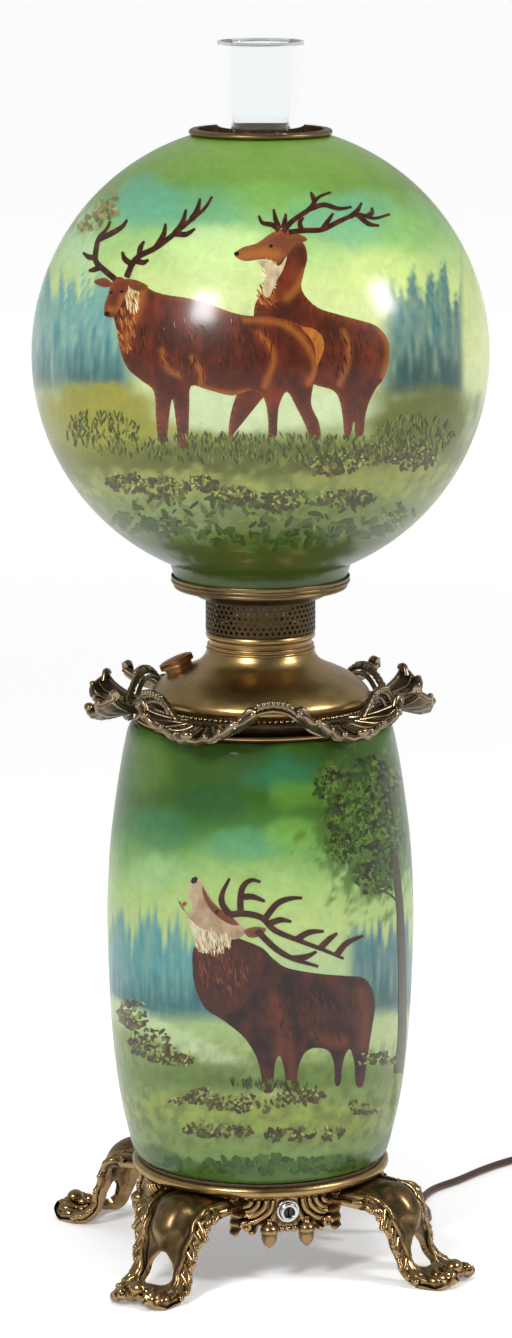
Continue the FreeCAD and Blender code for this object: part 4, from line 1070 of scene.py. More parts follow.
def wash(colours, weight, tint):
    """Lays a tint over the colours by weight."""
    colours += (tint - colours) * np.clip(weight, 0, 1)[:, None]


def spot(across, up, middle, reach_out, ragged=0.0, edge=0.6):
    """Weight of a soft oval patch: 1 inside, 0 outside."""
    far = np.hypot((across - middle[0]) / reach_out[0], (up - middle[1]) / reach_out[1]) + ragged
    return ease((1 + edge / 2 - far) / edge)


def spires(across, seed, step=5.5, tall=7.0):
    """Uneven height of a row of conifer tops along a picture."""
    height = np.array([noise.fractal(Vector((place / step, seed, 0)), 0.6, 2.2, 3) for place in across])
    return tall * (0.5 + height)


def streaks(across, up, seed):
    """Upright brushed streaks, about -1 to 1."""
    return np.array([noise.fractal(Vector((u / 2.4, v / 26, seed)), 0.9, 2.1, 3) for u, v in zip(across, up)])


def globe_paint(across, up, points):
    """Colours of the globe's landscape; across and up are measured in its picture from its middle."""
    broad, fine = clouds(points, 26, 1), clouds(points, 7, 2)
    sky_up = up + 5 * broad
    stops = [(-127, (58, 66, 20)), (-108, (70, 80, 26)), (-96, (104, 122, 58)), (-80, (124, 142, 76)),
             (-60, (112, 118, 52)),
             (-48, (120, 130, 60)), (-30, (176, 192, 140)), (-16, (190, 202, 144)), (0, (198, 208, 146)),
             (35, (190, 206, 134)),
             (58, (158, 192, 118)), (74, (122, 166, 100)), (90, (98, 136, 54)), (104, (98, 132, 52)),
             (127, (104, 138, 62))]
    heights = [height for height, _ in stops]
    tinted = np.array([rgb(*colour) for _, colour in stops])
    colours = np.stack([np.interp(sky_up, heights, tinted[:, part]) for part in range(3)], axis=1)
    for middle, size, tint, strength in (
        ((-62, 82), (22, 13), (84, 158, 138), 0.65), ((-31, 77), (22, 13), (84, 152, 116), 0.55),
        ((42, 72), (30, 14), (92, 158, 128), 0.6), ((10, 84), (26, 10), (110, 160, 70), 0.5),
        ((82, 66), (18, 12), (120, 170, 90), 0.6), ((-20, 55), (30, 12), (198, 220, 150), 0.6),
        ((70, 40), (26, 14), (196, 214, 120), 0.5), ((-100, 60), (14, 20), (170, 200, 160), 0.6)):
        wash(colours, strength * spot(across, up, middle, size, 0.35 * broad, 0.9), rgb(*tint))
    foliage = spot(across, up, (-96, 82), (20, 20), 0.5 * fine, 0.4)
    wash(colours, 0.75 * foliage * ease(0.5 + 1.2 * fine), rgb(120, 118, 66))

    brushed = streaks(across, up, 4)
    left_top = 34 + spires(across, 2.0, 6, 22) + 5 * brushed
    left = ease((left_top - up) / 12) * ease((up + 26) / 16) * ease((-62 - across) / 16)
    wash(colours, (0.8 + 0.25 * brushed) * left, rgb(76, 142, 150))
    wash(colours, 0.75 * left * ease((16 - up + 12 * brushed) / 30), rgb(44, 88, 92))
    wash(colours, 0.5 * left * ease((-6 - up + 8 * brushed) / 14), rgb(46, 62, 34))
    right_top = 32 + spires(across, 5.0, 6, 22) + 5 * brushed
    right = ease((right_top - up) / 10) * ease((up + 26) / 8) * ease((across - 60)
                                                                     / 14) * ease((112 - across) / 5)
    wash(colours, (0.85 + 0.25 * brushed) * right, rgb(52, 104, 110))
    wash(colours, 0.8 * right * ease((12 - up + 12 * brushed) / 26), rgb(28, 62, 58))
    wash(colours, 0.5 * ease((right_top - 16 - up) / 10) * ease((up + 20) / 10)
         * ease((40 - np.abs(across)) / 40), rgb(150, 180, 140))

    ground = ease((-14 - up + 2.5 * fine) / 3)
    wash(colours, ground * spot(across, up, (-84, -34), (40, 22), 0.3 * broad, 0.6), rgb(142, 140, 52))
    wash(colours, ground * spot(across, up, (88, -36), (34, 20), 0.3 * broad, 0.6), rgb(92, 98, 36))
    wash(colours, ground * 0.9 * spot(across, up, (2, -29), (58, 12), 0.2 * broad, 0.5), rgb(190, 206, 158))
    wash(colours, 0.75 * spot(across, up, (0, -56), (88, 11), 0.5 * fine, 0.6), rgb(84, 92, 34))
    wash(colours, 0.7 * spot(across, up, (60, -66), (46, 10), 0.6 * fine, 0.6), rgb(146, 152, 74))
    wash(colours, 0.7 * spot(across, up, (-50, -72), (46, 10), 0.6 * fine, 0.6), rgb(150, 156, 84))
    wash(colours, 0.7 * spot(across, up, (-50, -86), (50, 9), 0.4 * fine, 0.6), rgb(118, 136, 82))
    wash(colours, 0.5 * spot(across, up, (40, -88), (60, 9), 0.4 * fine, 0.6), rgb(94, 108, 48))
    wash(colours, 0.35 * ease(0.4 + fine) * ease((-45 - up) / 10), rgb(70, 66, 26))
    heights_up = np.array([point[2] for point in points])
    collar = heights_up - (GLOBE_UP - 96) - 3.2 * np.abs(np.sin(12
            * np.arctan2(points[:, 1], points[:, 0]))) + 2 * fine
    wash(colours, 0.85 * ease(-collar / 3), rgb(58, 78, 24))
    cap = ease((heights_up - (GLOBE_UP + 100) + 4 * broad) / 10)
    wash(colours, 0.8 * cap, rgb(104, 142, 56))
    return colours


def body_paint(across, up, points):
    """Colours of the body's landscape; up is the height on its front surface."""
    broad, fine = clouds(points, 24, 3), clouds(points, 6, 4)
    sky_up = up + 6 * broad
    stops = [(50, (62, 88, 34)), (66, (78, 104, 42)), (80, (92, 118, 50)), (100, (112, 132, 62)),
             (124, (126, 148, 80)),
             (140, (148, 170, 106)), (160, (160, 182, 124)), (185, (166, 188, 134)), (208, (170, 190, 118)),
             (232, (156, 186, 108)), (250, (112, 156, 84)), (266, (66, 114, 48)), (284, (52, 88, 26)),
             (318, (60, 94, 26))]
    heights = [height for height, _ in stops]
    tinted = np.array([rgb(*colour) for _, colour in stops])
    colours = np.stack([np.interp(sky_up, heights, tinted[:, part]) for part in range(3)], axis=1)
    for middle, size, tint, strength in (
        ((14, 296), (22, 12), (46, 112, 78), 0.7), ((-10, 306), (16, 9), (50, 84, 26), 0.7),
        ((-28, 278), (20, 10), (40, 86, 44), 0.7),
        ((-52, 264), (16, 12), (58, 116, 78), 0.6), ((-8, 256), (20, 8), (84, 150, 112), 0.6),
        ((24, 284), (18, 8), (92, 138, 40), 0.6),
        ((-60, 300), (14, 16), (92, 124, 50), 0.6), ((18, 262), (16, 8), (120, 168, 70), 0.6),
        ((-58, 240), (18, 10), (150, 186, 128), 0.6)):
        wash(colours, strength * spot(across, up, middle, size, 0.4 * broad, 0.9), rgb(*tint))
    tree = spot(across, up, (62, 268), (30, 46), 0.55 * fine + 0.2 * broad, 0.5)
    wash(colours, 0.85 * tree, rgb(58, 82, 26))
    wash(colours, 0.6 * tree * ease(0.3 + 1.3 * fine), rgb(40, 38, 14))
    wash(colours, 0.5 * tree * ease(-0.1 - 1.5 * fine), rgb(104, 136, 44))

    brushed = streaks(across, up, 8)
    left_top = 200 + spires(across, 1.0, 7, 26) - 0.12 * (across + 50) + 5 * brushed
    left = ease((left_top - up) / 12) * ease((up - 152) / 12) * ease((-6 - across) / 14)
    wash(colours, (0.85 + 0.25 * brushed) * left, rgb(62, 134, 142))
    wash(colours, 0.75 * left * ease((188 - up + 12 * brushed) / 28), rgb(40, 84, 88))
    right_top = 204 + spires(across, 3.0, 6, 20) + 5 * brushed
    right = ease((right_top - up) / 10) * ease((up - 156) / 10) * ease((across - 44) / 12)
    wash(colours, (0.85 + 0.25 * brushed) * right, rgb(62, 108, 118))
    wash(colours, 0.6 * right * ease((188 - up + 12 * brushed) / 22), rgb(38, 74, 70))

    slope = 166 - 0.48 * (across + 74)
    snow = ease((slope + 2 * fine - up) / 3)
    wash(colours, snow * ease((up - slope + 26) / 20) * ease((20 - across) / 14), rgb(178, 198, 146))
    wash(colours, 0.9 * ease((slope - 12 - up + 3 * fine) / 8), rgb(122, 144, 78))
    wash(colours, 0.8 * spot(across, up, (72, 146), (26, 12), 0.3 * broad, 0.6), rgb(176, 192, 140))
    wash(colours, 0.8 * spot(across, up, (4, 124), (70, 8), 0.4 * fine, 0.6), rgb(90, 116, 48))
    wash(colours, 0.7 * spot(across, up, (-20, 104), (60, 8), 0.5 * fine, 0.6), rgb(146, 160, 76))
    wash(colours, 0.7 * spot(across, up, (40, 98), (50, 8), 0.5 * fine, 0.6), rgb(134, 150, 66))
    wash(colours, 0.45 * ease(0.4 + 1.1 * fine) * ease((150 - up) / 14) * ease((up - 76) / 8),
         rgb(72, 74, 30))
    hem = points[:, 2] - 74 - 2.4 * np.sin(9 * np.arctan2(points[:, 1], points[:, 0])) + 2.5 * fine
    wash(colours, 0.8 * ease(-hem / 3), rgb(60, 92, 30))
    return colours


def globe_picture(points):
    """Picture coordinates of points on the globe; its far half repeats the near half's landscape."""
    centre = np.array([0, 0, GLOBE_UP])
    away = points - centre
    return away @ np.array(RIGHT), away @ tilted_up(7.1)


def tilted_up(elevation):
    """Up direction of a picture that is looked at from this many degrees above."""
    angle = math.radians(elevation)
    up = UP * math.cos(angle) - FRONT * math.sin(angle)
    return np.array(up)


def on_globe(across, up, lift):
    """Point on the globe's front, in its picture plane, raised by lift."""
    angle = math.radians(7.1)
    toward = FRONT * math.cos(angle) + UP * math.sin(angle)
    plane_up = UP * math.cos(angle) - FRONT * math.sin(angle)
    depth = math.sqrt(max(0, GLOBE_RAD ** 2 - across ** 2 - up ** 2))
    away = RIGHT * across + plane_up * up + toward * depth
    return away * ((GLOBE_RAD + lift) / GLOBE_RAD) + Vector((0, 0, GLOBE_UP))


PRESSED = 0.25
BODY_LINE = []
BODY_FRONT = 80
BODY_SLANT = 0.245


def body_radius(up):
    heights = [height for _, height in BODY_LINE]
    return float(np.interp(up, heights, [radius for radius, _ in BODY_LINE]))


def body_picture(points):
    """Picture coordinates on the body: across, and the height where the front surface has it."""
    across = points @ np.array(RIGHT)
    near = points @ np.array(FRONT)
    return across, points[:, 2] + (BODY_FRONT - np.abs(near)) * BODY_SLANT


def on_body(across, up, lift):
    """Point on the body's front, in its picture plane, raised by lift."""
    height = up
    for _ in range(4):
        radius = body_radius(height)
        near = math.sqrt(max(0, radius ** 2 - across ** 2))
        height = up - (BODY_FRONT - near) * BODY_SLANT
    away = RIGHT * across + FRONT * near
    return away * ((radius + lift) / radius) + Vector((0, 0, height))


def paint_vertices(bm, picture, colouring, outer):
    """Stores the landscape in the shape's paint attribute; inner walls stay opal white."""
    layer = bm.verts.layers.float_color.new("paint")
    bm.verts.ensure_lookup_table()
    points = np.array([vert.co[:] for vert in bm.verts])
    across, up = picture(points)
    colours = colouring(across, up, points)
    for vert, colour in zip(bm.verts, colours):
        tint = colour if outer(vert.co) else (0.78, 0.79, 0.74)
        vert[layer] = (*tint, 1)


def to_line(point, line):
    """Shortest distance from a point to a line of short steps, and the nearest of its points."""
    nearest = min(line, key=lambda place: (place - point).length_squared)
    return (nearest - point).length, nearest


def shade_hide(point, outline, dark, rim_tint, glow, glints=(), light_from=(-0.5, 0.85)):
    """Colour of a painted hide: dark, warmer on its muscles, with glints and a thin lit edge."""
    distance, nearest = to_line(point, outline)
    facing = (nearest - point).normalized().dot(Vector(light_from)) if distance > 0.05 else 0.4
    broad = noise.fractal(Vector((point.x / 11, point.y / 15, 3)), 0.9, 2.1, 3)
    hairs = noise.noise(Vector((point.x / 1.5, point.y / 6, 7)))
    colour = dark + (glow - dark) * min(1, max(0, 0.25 + 0.8 * broad + 0.3 * hairs))
    edge = math.exp(-distance / 1.3) * (0.08 + 0.5 * max(0, facing))
    for line, width in glints:
        edge = max(edge, 0.55 * math.exp(-(to_line(point, line)[0] / (1.25 * width)) ** 2))
    return colour + (rim_tint - colour) * min(1, edge)


def enamel(bm, outline, tint_of, lift, thick=0.16, cell=1.4):
    """Adds one closed patch of enamel: an outline in picture millimetres, cut into small cells."""
    patch = bmesh.new()
    corners = [patch.verts.new((point.x, point.y, 0)) for point in outline]
    patch.faces.new(corners)
    bmesh.ops.triangulate(patch, faces=list(patch.faces))
    for axis in (0, 1):
        low = min(point[axis] for point in outline)
        high = max(point[axis] for point in outline)
        for step in range(1, int((high - low) / cell)):
            place, way = [0, 0, 0], [0, 0, 0]
            place[axis], way[axis] = low + step * cell, 1
            geometry = list(patch.verts) + list(patch.edges) + list(patch.faces)
            bmesh.ops.bisect_plane(patch, geom=geometry, dist=0.0001, plane_co=place, plane_no=way)
    bmesh.ops.recalc_face_normals(patch, faces=patch.faces)
    bmesh.ops.solidify(patch, geom=list(patch.faces), thickness=thick)
    middle = sum(vert.co.z for vert in patch.verts) / len(patch.verts)
    layer = patch.verts.layers.float_color.new("paint")
    for vert in patch.verts:
        vert[layer] = (*tint_of(Vector((vert.co.x, vert.co.y))), 1)
        vert.co.z = lift + (thick if vert.co.z > middle else 0)
    join_shapes(bm, patch)


def stroke_outline(points, widths):
    """Outline of one tapering brush stroke; widths are at its start, middle and end."""
    line = flowing(points, count=5)
    last = len(line) - 1
    sides = ([], [])
    for index, place in enumerate(line):
        way = (line[min(index + 1, last)] - line[max(index - 1, 0)]).normalized()
        half = np.interp(index / last, (0, 0.5, 1), widths) / 2
        normal = Vector((-way.y, way.x))
        sides[0].append(place + normal * half)
        sides[1].append(place - normal * half)
    return sides[0] + sides[1][::-1]


def dab(bm, place, size, stretch, turned_by, tint, lift):
    """Adds one closed touch of the brush, a low six-sided button, unless it would miss the glass."""
    if math.hypot(*place) > GLOBE_RAD - 6 and place[1] < 130:
        return
    made = bmesh.ops.create_cone(bm, cap_ends=True, segments=6, radius1=size, radius2=size * 0.6,
                                 depth=0.12)["verts"]
    matrix = (Matrix.Translation((place[0], place[1], lift)) @ Matrix.Rotation(turned_by, 4, "Z")
              @ Matrix.Diagonal((stretch, 1, 1, 1)))
    bmesh.ops.transform(bm, matrix=matrix, verts=made)
    layer = bm.verts.layers.float_color["paint"]
    for vert in made:
        vert[layer] = (*tint, 1)


def wrap(bm, place):
    """Lays a picture in (across, up, lift) onto the glass, its layers pressed thin."""
    for vert in bm.verts:
        vert.co = place(vert.co.x, vert.co.y, vert.co.z * PRESSED)
    bmesh.ops.recalc_face_normals(bm, faces=bm.faces)


HEAD_LIGHT = rgb(196, 178, 140)
STAG_RIM = rgb(176, 104, 42)
STAG_GLOW = rgb(112, 46, 22)


def stag_tint(outline, dark=None, glints=()):
    dark = np.array(tints().hide) if dark is None else dark
    edge = [Vector(point) for point in outline]
    lines = [(flowing(points, count=8), width) for points, width in glints]
    return lambda point: shade_hide(point, edge, dark, STAG_RIM, STAG_GLOW, lines)


def hairs(bm, rng, count, middle, size, angle, tints_used, lift, length=3.2):
    """Lays hair strokes over an oval patch, all running at about one angle in degrees."""
    for _ in range(count):
        turned_by, out = rng.uniform(0, FULL), math.sqrt(rng.random())
        place = (middle[0] + size[0] * out * math.cos(turned_by),
                 middle[1] + size[1] * out * math.sin(turned_by))
        tint = rgb(*rng.choice(tints_used)) * rng.uniform(0.8, 1.15)
        dab(bm, place, 0.42, length * rng.uniform(1.2, 2.4), math.radians(angle + rng.uniform(-16, 16)), tint,
            lift)


def antler_tint(point):
    grain = noise.noise(Vector((point.x / 3, point.y / 3, 0)))
    return rgb(50, 19, 9) * (1 + 0.5 * grain) + rgb(80, 40, 18) * max(0, grain)


def paint_antlers(bm, strokes, width, lift):
    for points in strokes:
        enamel(bm, stroke_outline(points, (width, width * 0.9, width * 0.4)), antler_tint, lift, cell=6)


def build_globe():
    """Opal ball shade with its painted landscape and two stags."""
    wall = 3.0
    fitter = 48.9
    low = bottom("globe_shade")
    outside = [(fitter - wall, low), (fitter, low), (fitter, low + 2), (fitter, low + 4.5)]
    start = math.degrees(math.asin((low + 11.3 - GLOBE_UP) / GLOBE_RAD))
    end = math.degrees(math.acos(GLOBE_HOLE / GLOBE_RAD))
    outside += arc((0, GLOBE_UP), GLOBE_RAD, start, end, 150)
    inside = arc((0, GLOBE_UP), GLOBE_RAD - wall, end - 1.0, start + 1.2, 28)
    bm = turn(outside + inside, 288)
    middle = Vector((0, 0, GLOBE_UP))
    paint_vertices(bm, globe_picture, globe_paint,
                   lambda place: (place - middle).length > GLOBE_RAD - wall * 0.5 or place.z < low + 6)
    finished(bm, "painted_globe", "shade", "painted_opal", ["globe_shade"], 60)

    hide = bmesh.new()
    hide.verts.layers.float_color.new("paint")
    rear = flowing([(22, 60), (25, 52), (23, 43), (22, 34), (30, 25), (42, 21), (53, 18), (62, 15), (68, 8),
                    (69, -2),
                    (66, -13), (62, -18), (58, -26), (56, -34), (55, -43), (51, -43.5), (50, -36),
                    (48, -43.5), (45, -43.5), (44, -34),
                    (42, -24), (38, -19), (28, -16), (16, -10), (4, -20), (-14, -42), (-17, -43), (-15, -28),
                    (-6, -4),
                    (-4, 12), (-3, 26), (2, 34), (7, 43), (9, 50), (14, 57)], True, 4)
    enamel(hide, rear, stag_tint(rear, None, (
        ([(64, 14), (68, 6), (68.5, -3), (66, -12)], 1.6), ([(44, 12), (47, 4), (46, -6), (42, -16)], 1.3),
        ([(24, 44), (20, 36), (14, 30)], 2.0))), 0.10)
    rear_head = flowing([(-13.5, 54), (-13, 51.5), (-8, 49.5), (0, 50.5), (5, 50), (10, 49), (15, 54),
                         (19, 60), (16, 65), (11, 66.5),
                         (5, 64), (-2, 59), (-9, 57)], True, 4)
    enamel(hide, rear_head, stag_tint(rear_head, rgb(104, 62, 34),
                                      (([(-12, 52), (-6, 53), (2, 54), (8, 53)], 2.6),)), 0.30)
    throat = flowing([(-2, 50), (5, 49), (10, 47), (14, 52), (12, 45), (8, 38), (4, 30), (1, 34), (3, 43)],
                     True, 4)
    enamel(hide, throat, lambda point: HEAD_LIGHT * (0.8 + 0.4
                                                     * noise.noise(Vector((point.x / 2, point.y / 5, 1)))),
           0.44)
    front = flowing([(-79, 38), (-74, 40), (-69, 40), (-64, 38.5), (-58, 34), (-50, 31.5), (-40, 30),
                     (-28, 27), (-18, 23), (-8, 20.5),
                     (4, 20), (16, 17.5), (26, 13), (31, 6), (31, -6), (28, -17), (27, -27), (31, -36),
                     (32, -45), (27, -45.5), (24, -38),
                     (19, -28), (14, -20), (10, -27), (9, -36), (8.5, -43.5), (4.5, -43.5), (4, -34),
                     (2, -24), (-4, -19),
                     (-15, -22), (-28, -19), (-37, -17), (-38, -28), (-38.5, -40), (-39.5, -49.5),
                     (-43.5, -49.5), (-45, -38),
                     (-47, -24), (-49, -34), (-50.5, -46.5), (-54.5, -46.5), (-56, -34), (-57, -20),
                     (-64, -14), (-71, -8), (-75, 1),
                     (-77, 12), (-80, 22), (-84, 22), (-83.5, 28), (-81, 33)], True, 4)
    enamel(hide, front, stag_tint(front, None, (
        ([(-8, 18.2), (9.5, 16.7), (20.3, 10), (27, 0.6), (29.1, -7.5), (25.6, -15.6)], 1.5),
        ([(-1.3, 11.4), (5.5, 3.3), (6.8, -4.8), (2.1, -17)], 1.3),
        ([(-52.6, 2), (-49.8, -7.5), (-43, -11.6)], 1.3),
        ([(-36.4, -2), (-31.6, -10.2), (-32.3, -17), (-36.4, -29)], 1.3),
        ([(-30, -18), (-18, -21), (-6, -20)], 1.2),
        ([(-63.5, 34.5), (-66, 25), (-70, 14), (-73, 4)], 2.6))), 0.26)
    face = flowing([(-79, 40), (-74, 41), (-71, 36), (-74, 28), (-78, 20.5), (-82.5, 20), (-84, 24),
                    (-82, 32)], True, 4)
    enamel(hide, face, stag_tint(face, rgb(84, 42, 24), (([(-81, 24), (-76.5, 24), (-73.5, 31)], 1.7),)),
           0.58)
    for ear in ([(-79, 37), (-84, 41), (-90, 39), (-85, 36)], [(-71, 37), (-66, 39), (-60, 36), (-66, 33.5)],
                [(14, 62), (20, 64), (25, 61), (19, 59)]):
        outline = flowing(ear, True, 4)
        enamel(hide, outline, stag_tint(outline, rgb(92, 52, 28)), 0.60)
    tail = flowing([(22, 14), (28, 13.5), (33, 9), (33.5, 2), (30, -6), (29, 3), (26, 9)], True, 4)
    enamel(hide, tail, lambda point: rgb(182, 112, 44) * (0.75 + 0.4
            * noise.noise(Vector((point.x / 2, point.y / 3, 5)))), 0.42)
    for spot_at, size, tint in (((-82.5, 21.5), 1.5, (30, 14, 10)), ((-80.2, 33), 0.9, (20, 10, 8)),
                                ((-74.5, 33.5), 0.9, (20, 10, 8)),
                                ((-12.8, 53.4), 1.3, (24, 14, 10)), ((5.6, 57.5), 0.9, (18, 10, 8))):
        dab(hide, spot_at, size, 1.2, 0, rgb(*tint), 0.8)
    paint_antlers(hide, (
        [(-78, 40), (-84, 45), (-89, 50), (-89, 57), (-87.5, 63), (-83.5, 67.5), (-81.5, 72)],
        [(-87.8, 62), (-81, 65), (-75, 68.5), (-72, 72.5)],
        [(-89, 52), (-93, 52.5), (-96.5, 55)], [(-86, 47), (-90, 45.5), (-93, 45)],
        [(-72, 41), (-69, 48), (-65, 52.5), (-56, 57), (-46, 64.5), (-37, 72), (-30, 78), (-26, 84.5)],
        [(-37, 72), (-34, 77), (-32.5, 83.5)], [(-46, 64.5), (-42, 70), (-40, 77.5)],
        [(-56, 57), (-52, 64), (-51, 70)],
        [(-65, 52.5), (-64.5, 57), (-62.5, 60.5)], [(-69, 48), (-73, 51), (-74.5, 55)],
        [(-67, 50), (-63, 49), (-60, 50.5)],
        [(-46, 64.5), (-40, 64), (-35, 67)]), 3.3, 0.74)
    paint_antlers(hide, (
        [(12, 65), (17, 71), (26, 77.5), (31, 84), (38, 87)], [(26, 77.5), (34, 80), (42, 78), (49, 79)],
        [(29, 82), (27, 87)],
        [(15, 65), (24, 66), (33, 66.5), (42, 71), (52, 75), (61, 73), (70, 75.5)],
        [(33, 66.5), (36, 71), (39, 75.5)],
        [(48, 73.5), (52, 77), (54.5, 81.5)], [(57, 74), (60, 76), (60, 79)], [(22, 66), (21, 70), (23, 73)],
        [(52, 75), (58, 70), (64, 69)],
        [(10, 66), (6, 69), (1, 70), (-1, 74)], [(10, 67), (8, 72), (7, 77.5)],
        [(12, 67), (13, 71), (13.5, 75)]), 2.9, 0.74)
    rng = random.Random(5)
    cream = ((214, 196, 150), (190, 150, 96), (168, 112, 60), (226, 214, 176))
    russet = ((150, 78, 34), (120, 58, 26), (92, 40, 20), (180, 116, 58))
    hairs(hide, rng, 60, (-69, 30), (4, 7), -75, cream, 0.66)
    hairs(hide, rng, 90, (-72, 14), (5, 12), -72, russet, 0.6)
    hairs(hide, rng, 60, (5, 43), (4, 8), -60, cream, 0.5)
    hairs(hide, rng, 60, (4, 31), (5, 6), -55, russet, 0.5)
    hairs(hide, rng, 120, (-30, 4), (40, 16), -80, ((70, 26, 12), (98, 42, 20), (52, 18, 8)), 0.5)
    hairs(hide, rng, 70, (46, 0), (18, 14), -80, ((70, 26, 12), (98, 42, 20), (52, 18, 8)), 0.3)
    wrap(hide, on_globe)
    finished(hide, "globe_stags", "shade", "painted_opal", sharpest=60)


def build_body():
    """Opal barrel body with its painted landscape and a roaring stag."""
    wall = 3.5
    low, high = bottom("body_glass"), top("body_glass")
    widest = reach("body_glass")
    line = flowing([(69.2, low + 0.3), (71.2, low + 1.6), (73.4, low + 5), (76.5, low + 17.5),
                    (79.2, low + 30), (81.6, low + 44), (84, low + 65),
                    (85.8, low + 92), (widest, low + 132), (86.6, low + 158), (84.9, low + 184),
                    (82.2, low + 206), (79.2, low + 226),
                    (76.2, low + 242), (74.6, low + 248), (72.6, high - 0.9), (70.4, high)], count=10)
    BODY_LINE.extend((point.x, point.y) for point in line)
    outside = [(62.2, low)] + BODY_LINE
    inside = [(62, high), (62, high - wall)] + [(radius - wall, min(up, high - wall - 3)) for radius,
                                                up in BODY_LINE[-22:8:-9]]
    bm = turn(outside + inside + [(62.2, low + wall)], 288)
    paint_vertices(bm, body_picture, body_paint, lambda place: place.xy.length > body_radius(place.z)
                   - 1.2 or place.z > high - 1)
    finished(bm, "painted_body", "lamp_base", "painted_opal", ["body_glass"], 60)

    hide = bmesh.new()
    hide.verts.layers.float_color.new("paint")
    near_black = rgb(30, 9, 4)
    beast = flowing([(-36, 214), (-28, 211), (-18, 205), (-8, 201), (1, 197), (7, 191), (14, 186),
                     (25, 183.5), (36, 182), (48, 181), (57, 180),
                     (62, 174), (64, 164), (62.5, 152), (61, 142), (59.5, 131), (57.5, 118), (53.5, 118),
                     (52.5, 130), (50, 139), (47, 135),
                     (45.5, 128), (44.5, 119), (41.5, 119), (41, 130), (38, 138), (31, 140), (25.5, 138),
                     (22, 132), (20.5, 124), (19.8, 116),
                     (14.6, 116), (13.6, 125), (11.6, 134), (9.8, 135), (8.2, 131), (7.4, 123), (6.8, 115),
                     (1.4, 115), (0.4, 124), (-1.6, 133),
                     (-5.5, 141), (-11, 148), (-21, 156), (-30, 162), (-35, 171), (-37.5, 182), (-37, 192),
                     (-36, 200)],
                    True, 4)
    enamel(hide, beast, lambda point: shade_hide(point, beast, near_black, rgb(112, 54, 24), rgb(80, 32, 15),
                                                 (
                        (flowing([(56, 172), (59, 158), (57, 142)]), 3.4),
                        (flowing([(8, 168), (12, 152), (10, 136)]), 3.0),
                        (flowing([(30, 148), (38, 143), (46, 144)]), 2.6),
                        (flowing([(16, 148), (17, 134), (17, 122)]), 2.0)),
                                                 (0.3, 0.9)), 0.12)
    head = flowing([(-35, 236.5), (-33, 235.5), (-29, 228), (-25, 222), (-19, 216.5), (-12, 212), (-8, 206),
                    (-14, 202), (-22, 203),
                    (-30, 205), (-36, 208), (-40, 214), (-43, 221), (-45.5, 224.5), (-44, 220), (-40.5, 217),
                    (-38, 219), (-39.5, 225), (-40, 231),
                    (-38.5, 236)], True, 4)
    enamel(hide, head, lambda point: shade_hide(point, head, rgb(150, 120, 92), rgb(222, 214, 186),
                                                rgb(196, 176, 140)), 0.32)
    throat = flowing([(-40, 214), (-34, 209), (-27, 206), (-20, 204), (-17, 199), (-22, 196), (-29, 194),
                      (-35, 196), (-37, 204)], True, 4)
    enamel(hide, throat, lambda point: rgb(214, 206, 172) * (0.7 + 0.5
            * abs(noise.noise(Vector((point.x / 2, point.y / 6, 2))))), 0.5)
    mane = flowing([(-37, 197), (-30, 195), (-22, 197), (-12, 200), (-2, 197), (2, 188), (-2, 176), (-8, 166),
                    (-16, 160), (-26, 160), (-33, 168),
                    (-37, 180)], True, 4)
    enamel(hide, mane, lambda point: rgb(74, 30, 14) * (0.55 + 1.2
            * abs(noise.noise(Vector((point.x / 2.2, point.y / 9, 4))))), 0.5)
    ear = flowing([(-9, 207), (-3, 209), (3, 208), (0, 204), (-6, 203)], True, 4)
    enamel(hide, ear, stag_tint(ear, rgb(96, 60, 36)), 0.66)
    brow = flowing([(-32, 232), (-28, 225), (-22, 219), (-15, 214), (-12, 210), (-18, 211), (-26, 217),
                    (-31, 225)], True, 4)
    enamel(hide, brow, stag_tint(brow, rgb(88, 50, 30)), 0.5)
    for place, size, tint in (((-24, 217.5), 1.1, (20, 8, 6)), ((-36.5, 235.5), 1.8, (40, 22, 18)),
                              ((-42, 222), 1.2, (150, 66, 48))):
        dab(hide, place, size, 1.3, 0.8, rgb(*tint), 0.8)
    paint_antlers(hide, (
        [(-17, 216), (-8, 216.5), (1, 214), (8, 207), (22, 201), (36, 195.5), (46, 191)],
        [(-17, 216), (-21, 222), (-21, 228), (-17, 236.5)],
        [(-11, 217), (-11, 225), (-9.5, 232), (-5, 235.5), (0, 234.5)], [(-10, 226), (-4, 226), (2.5, 223.5)],
        [(2, 213), (9, 222), (16, 225), (23, 225.5)],
        [(5, 211), (11, 213), (17, 212)], [(20, 202), (27, 206), (35, 206.5)],
        [(33, 197), (38, 202), (42.5, 205.5)], [(42, 193), (48, 200), (57, 204)],
        [(-2, 207), (8, 197), (18, 191), (32, 186.5)], [(18, 191), (25, 192), (31, 195)]), 3.7, 0.82)
    rng = random.Random(6)
    hairs(hide, rng, 90, (-26, 200), (10, 6), -80, ((220, 212, 180), (196, 176, 140), (168, 128, 88)), 0.7)
    hairs(hide, rng, 160, (-20, 184), (14, 14), -80, ((96, 40, 18), (66, 26, 12), (46, 16, 8), (120, 60, 30)),
          0.66, 4.2)
    hairs(hide, rng, 120, (30, 158), (28, 16), -70, ((58, 22, 10), (40, 14, 6), (76, 34, 16)), 0.4, 3.6)
    wrap(hide, on_body)
    finished(hide, "body_stag", "lamp_base", "painted_opal", sharpest=60)


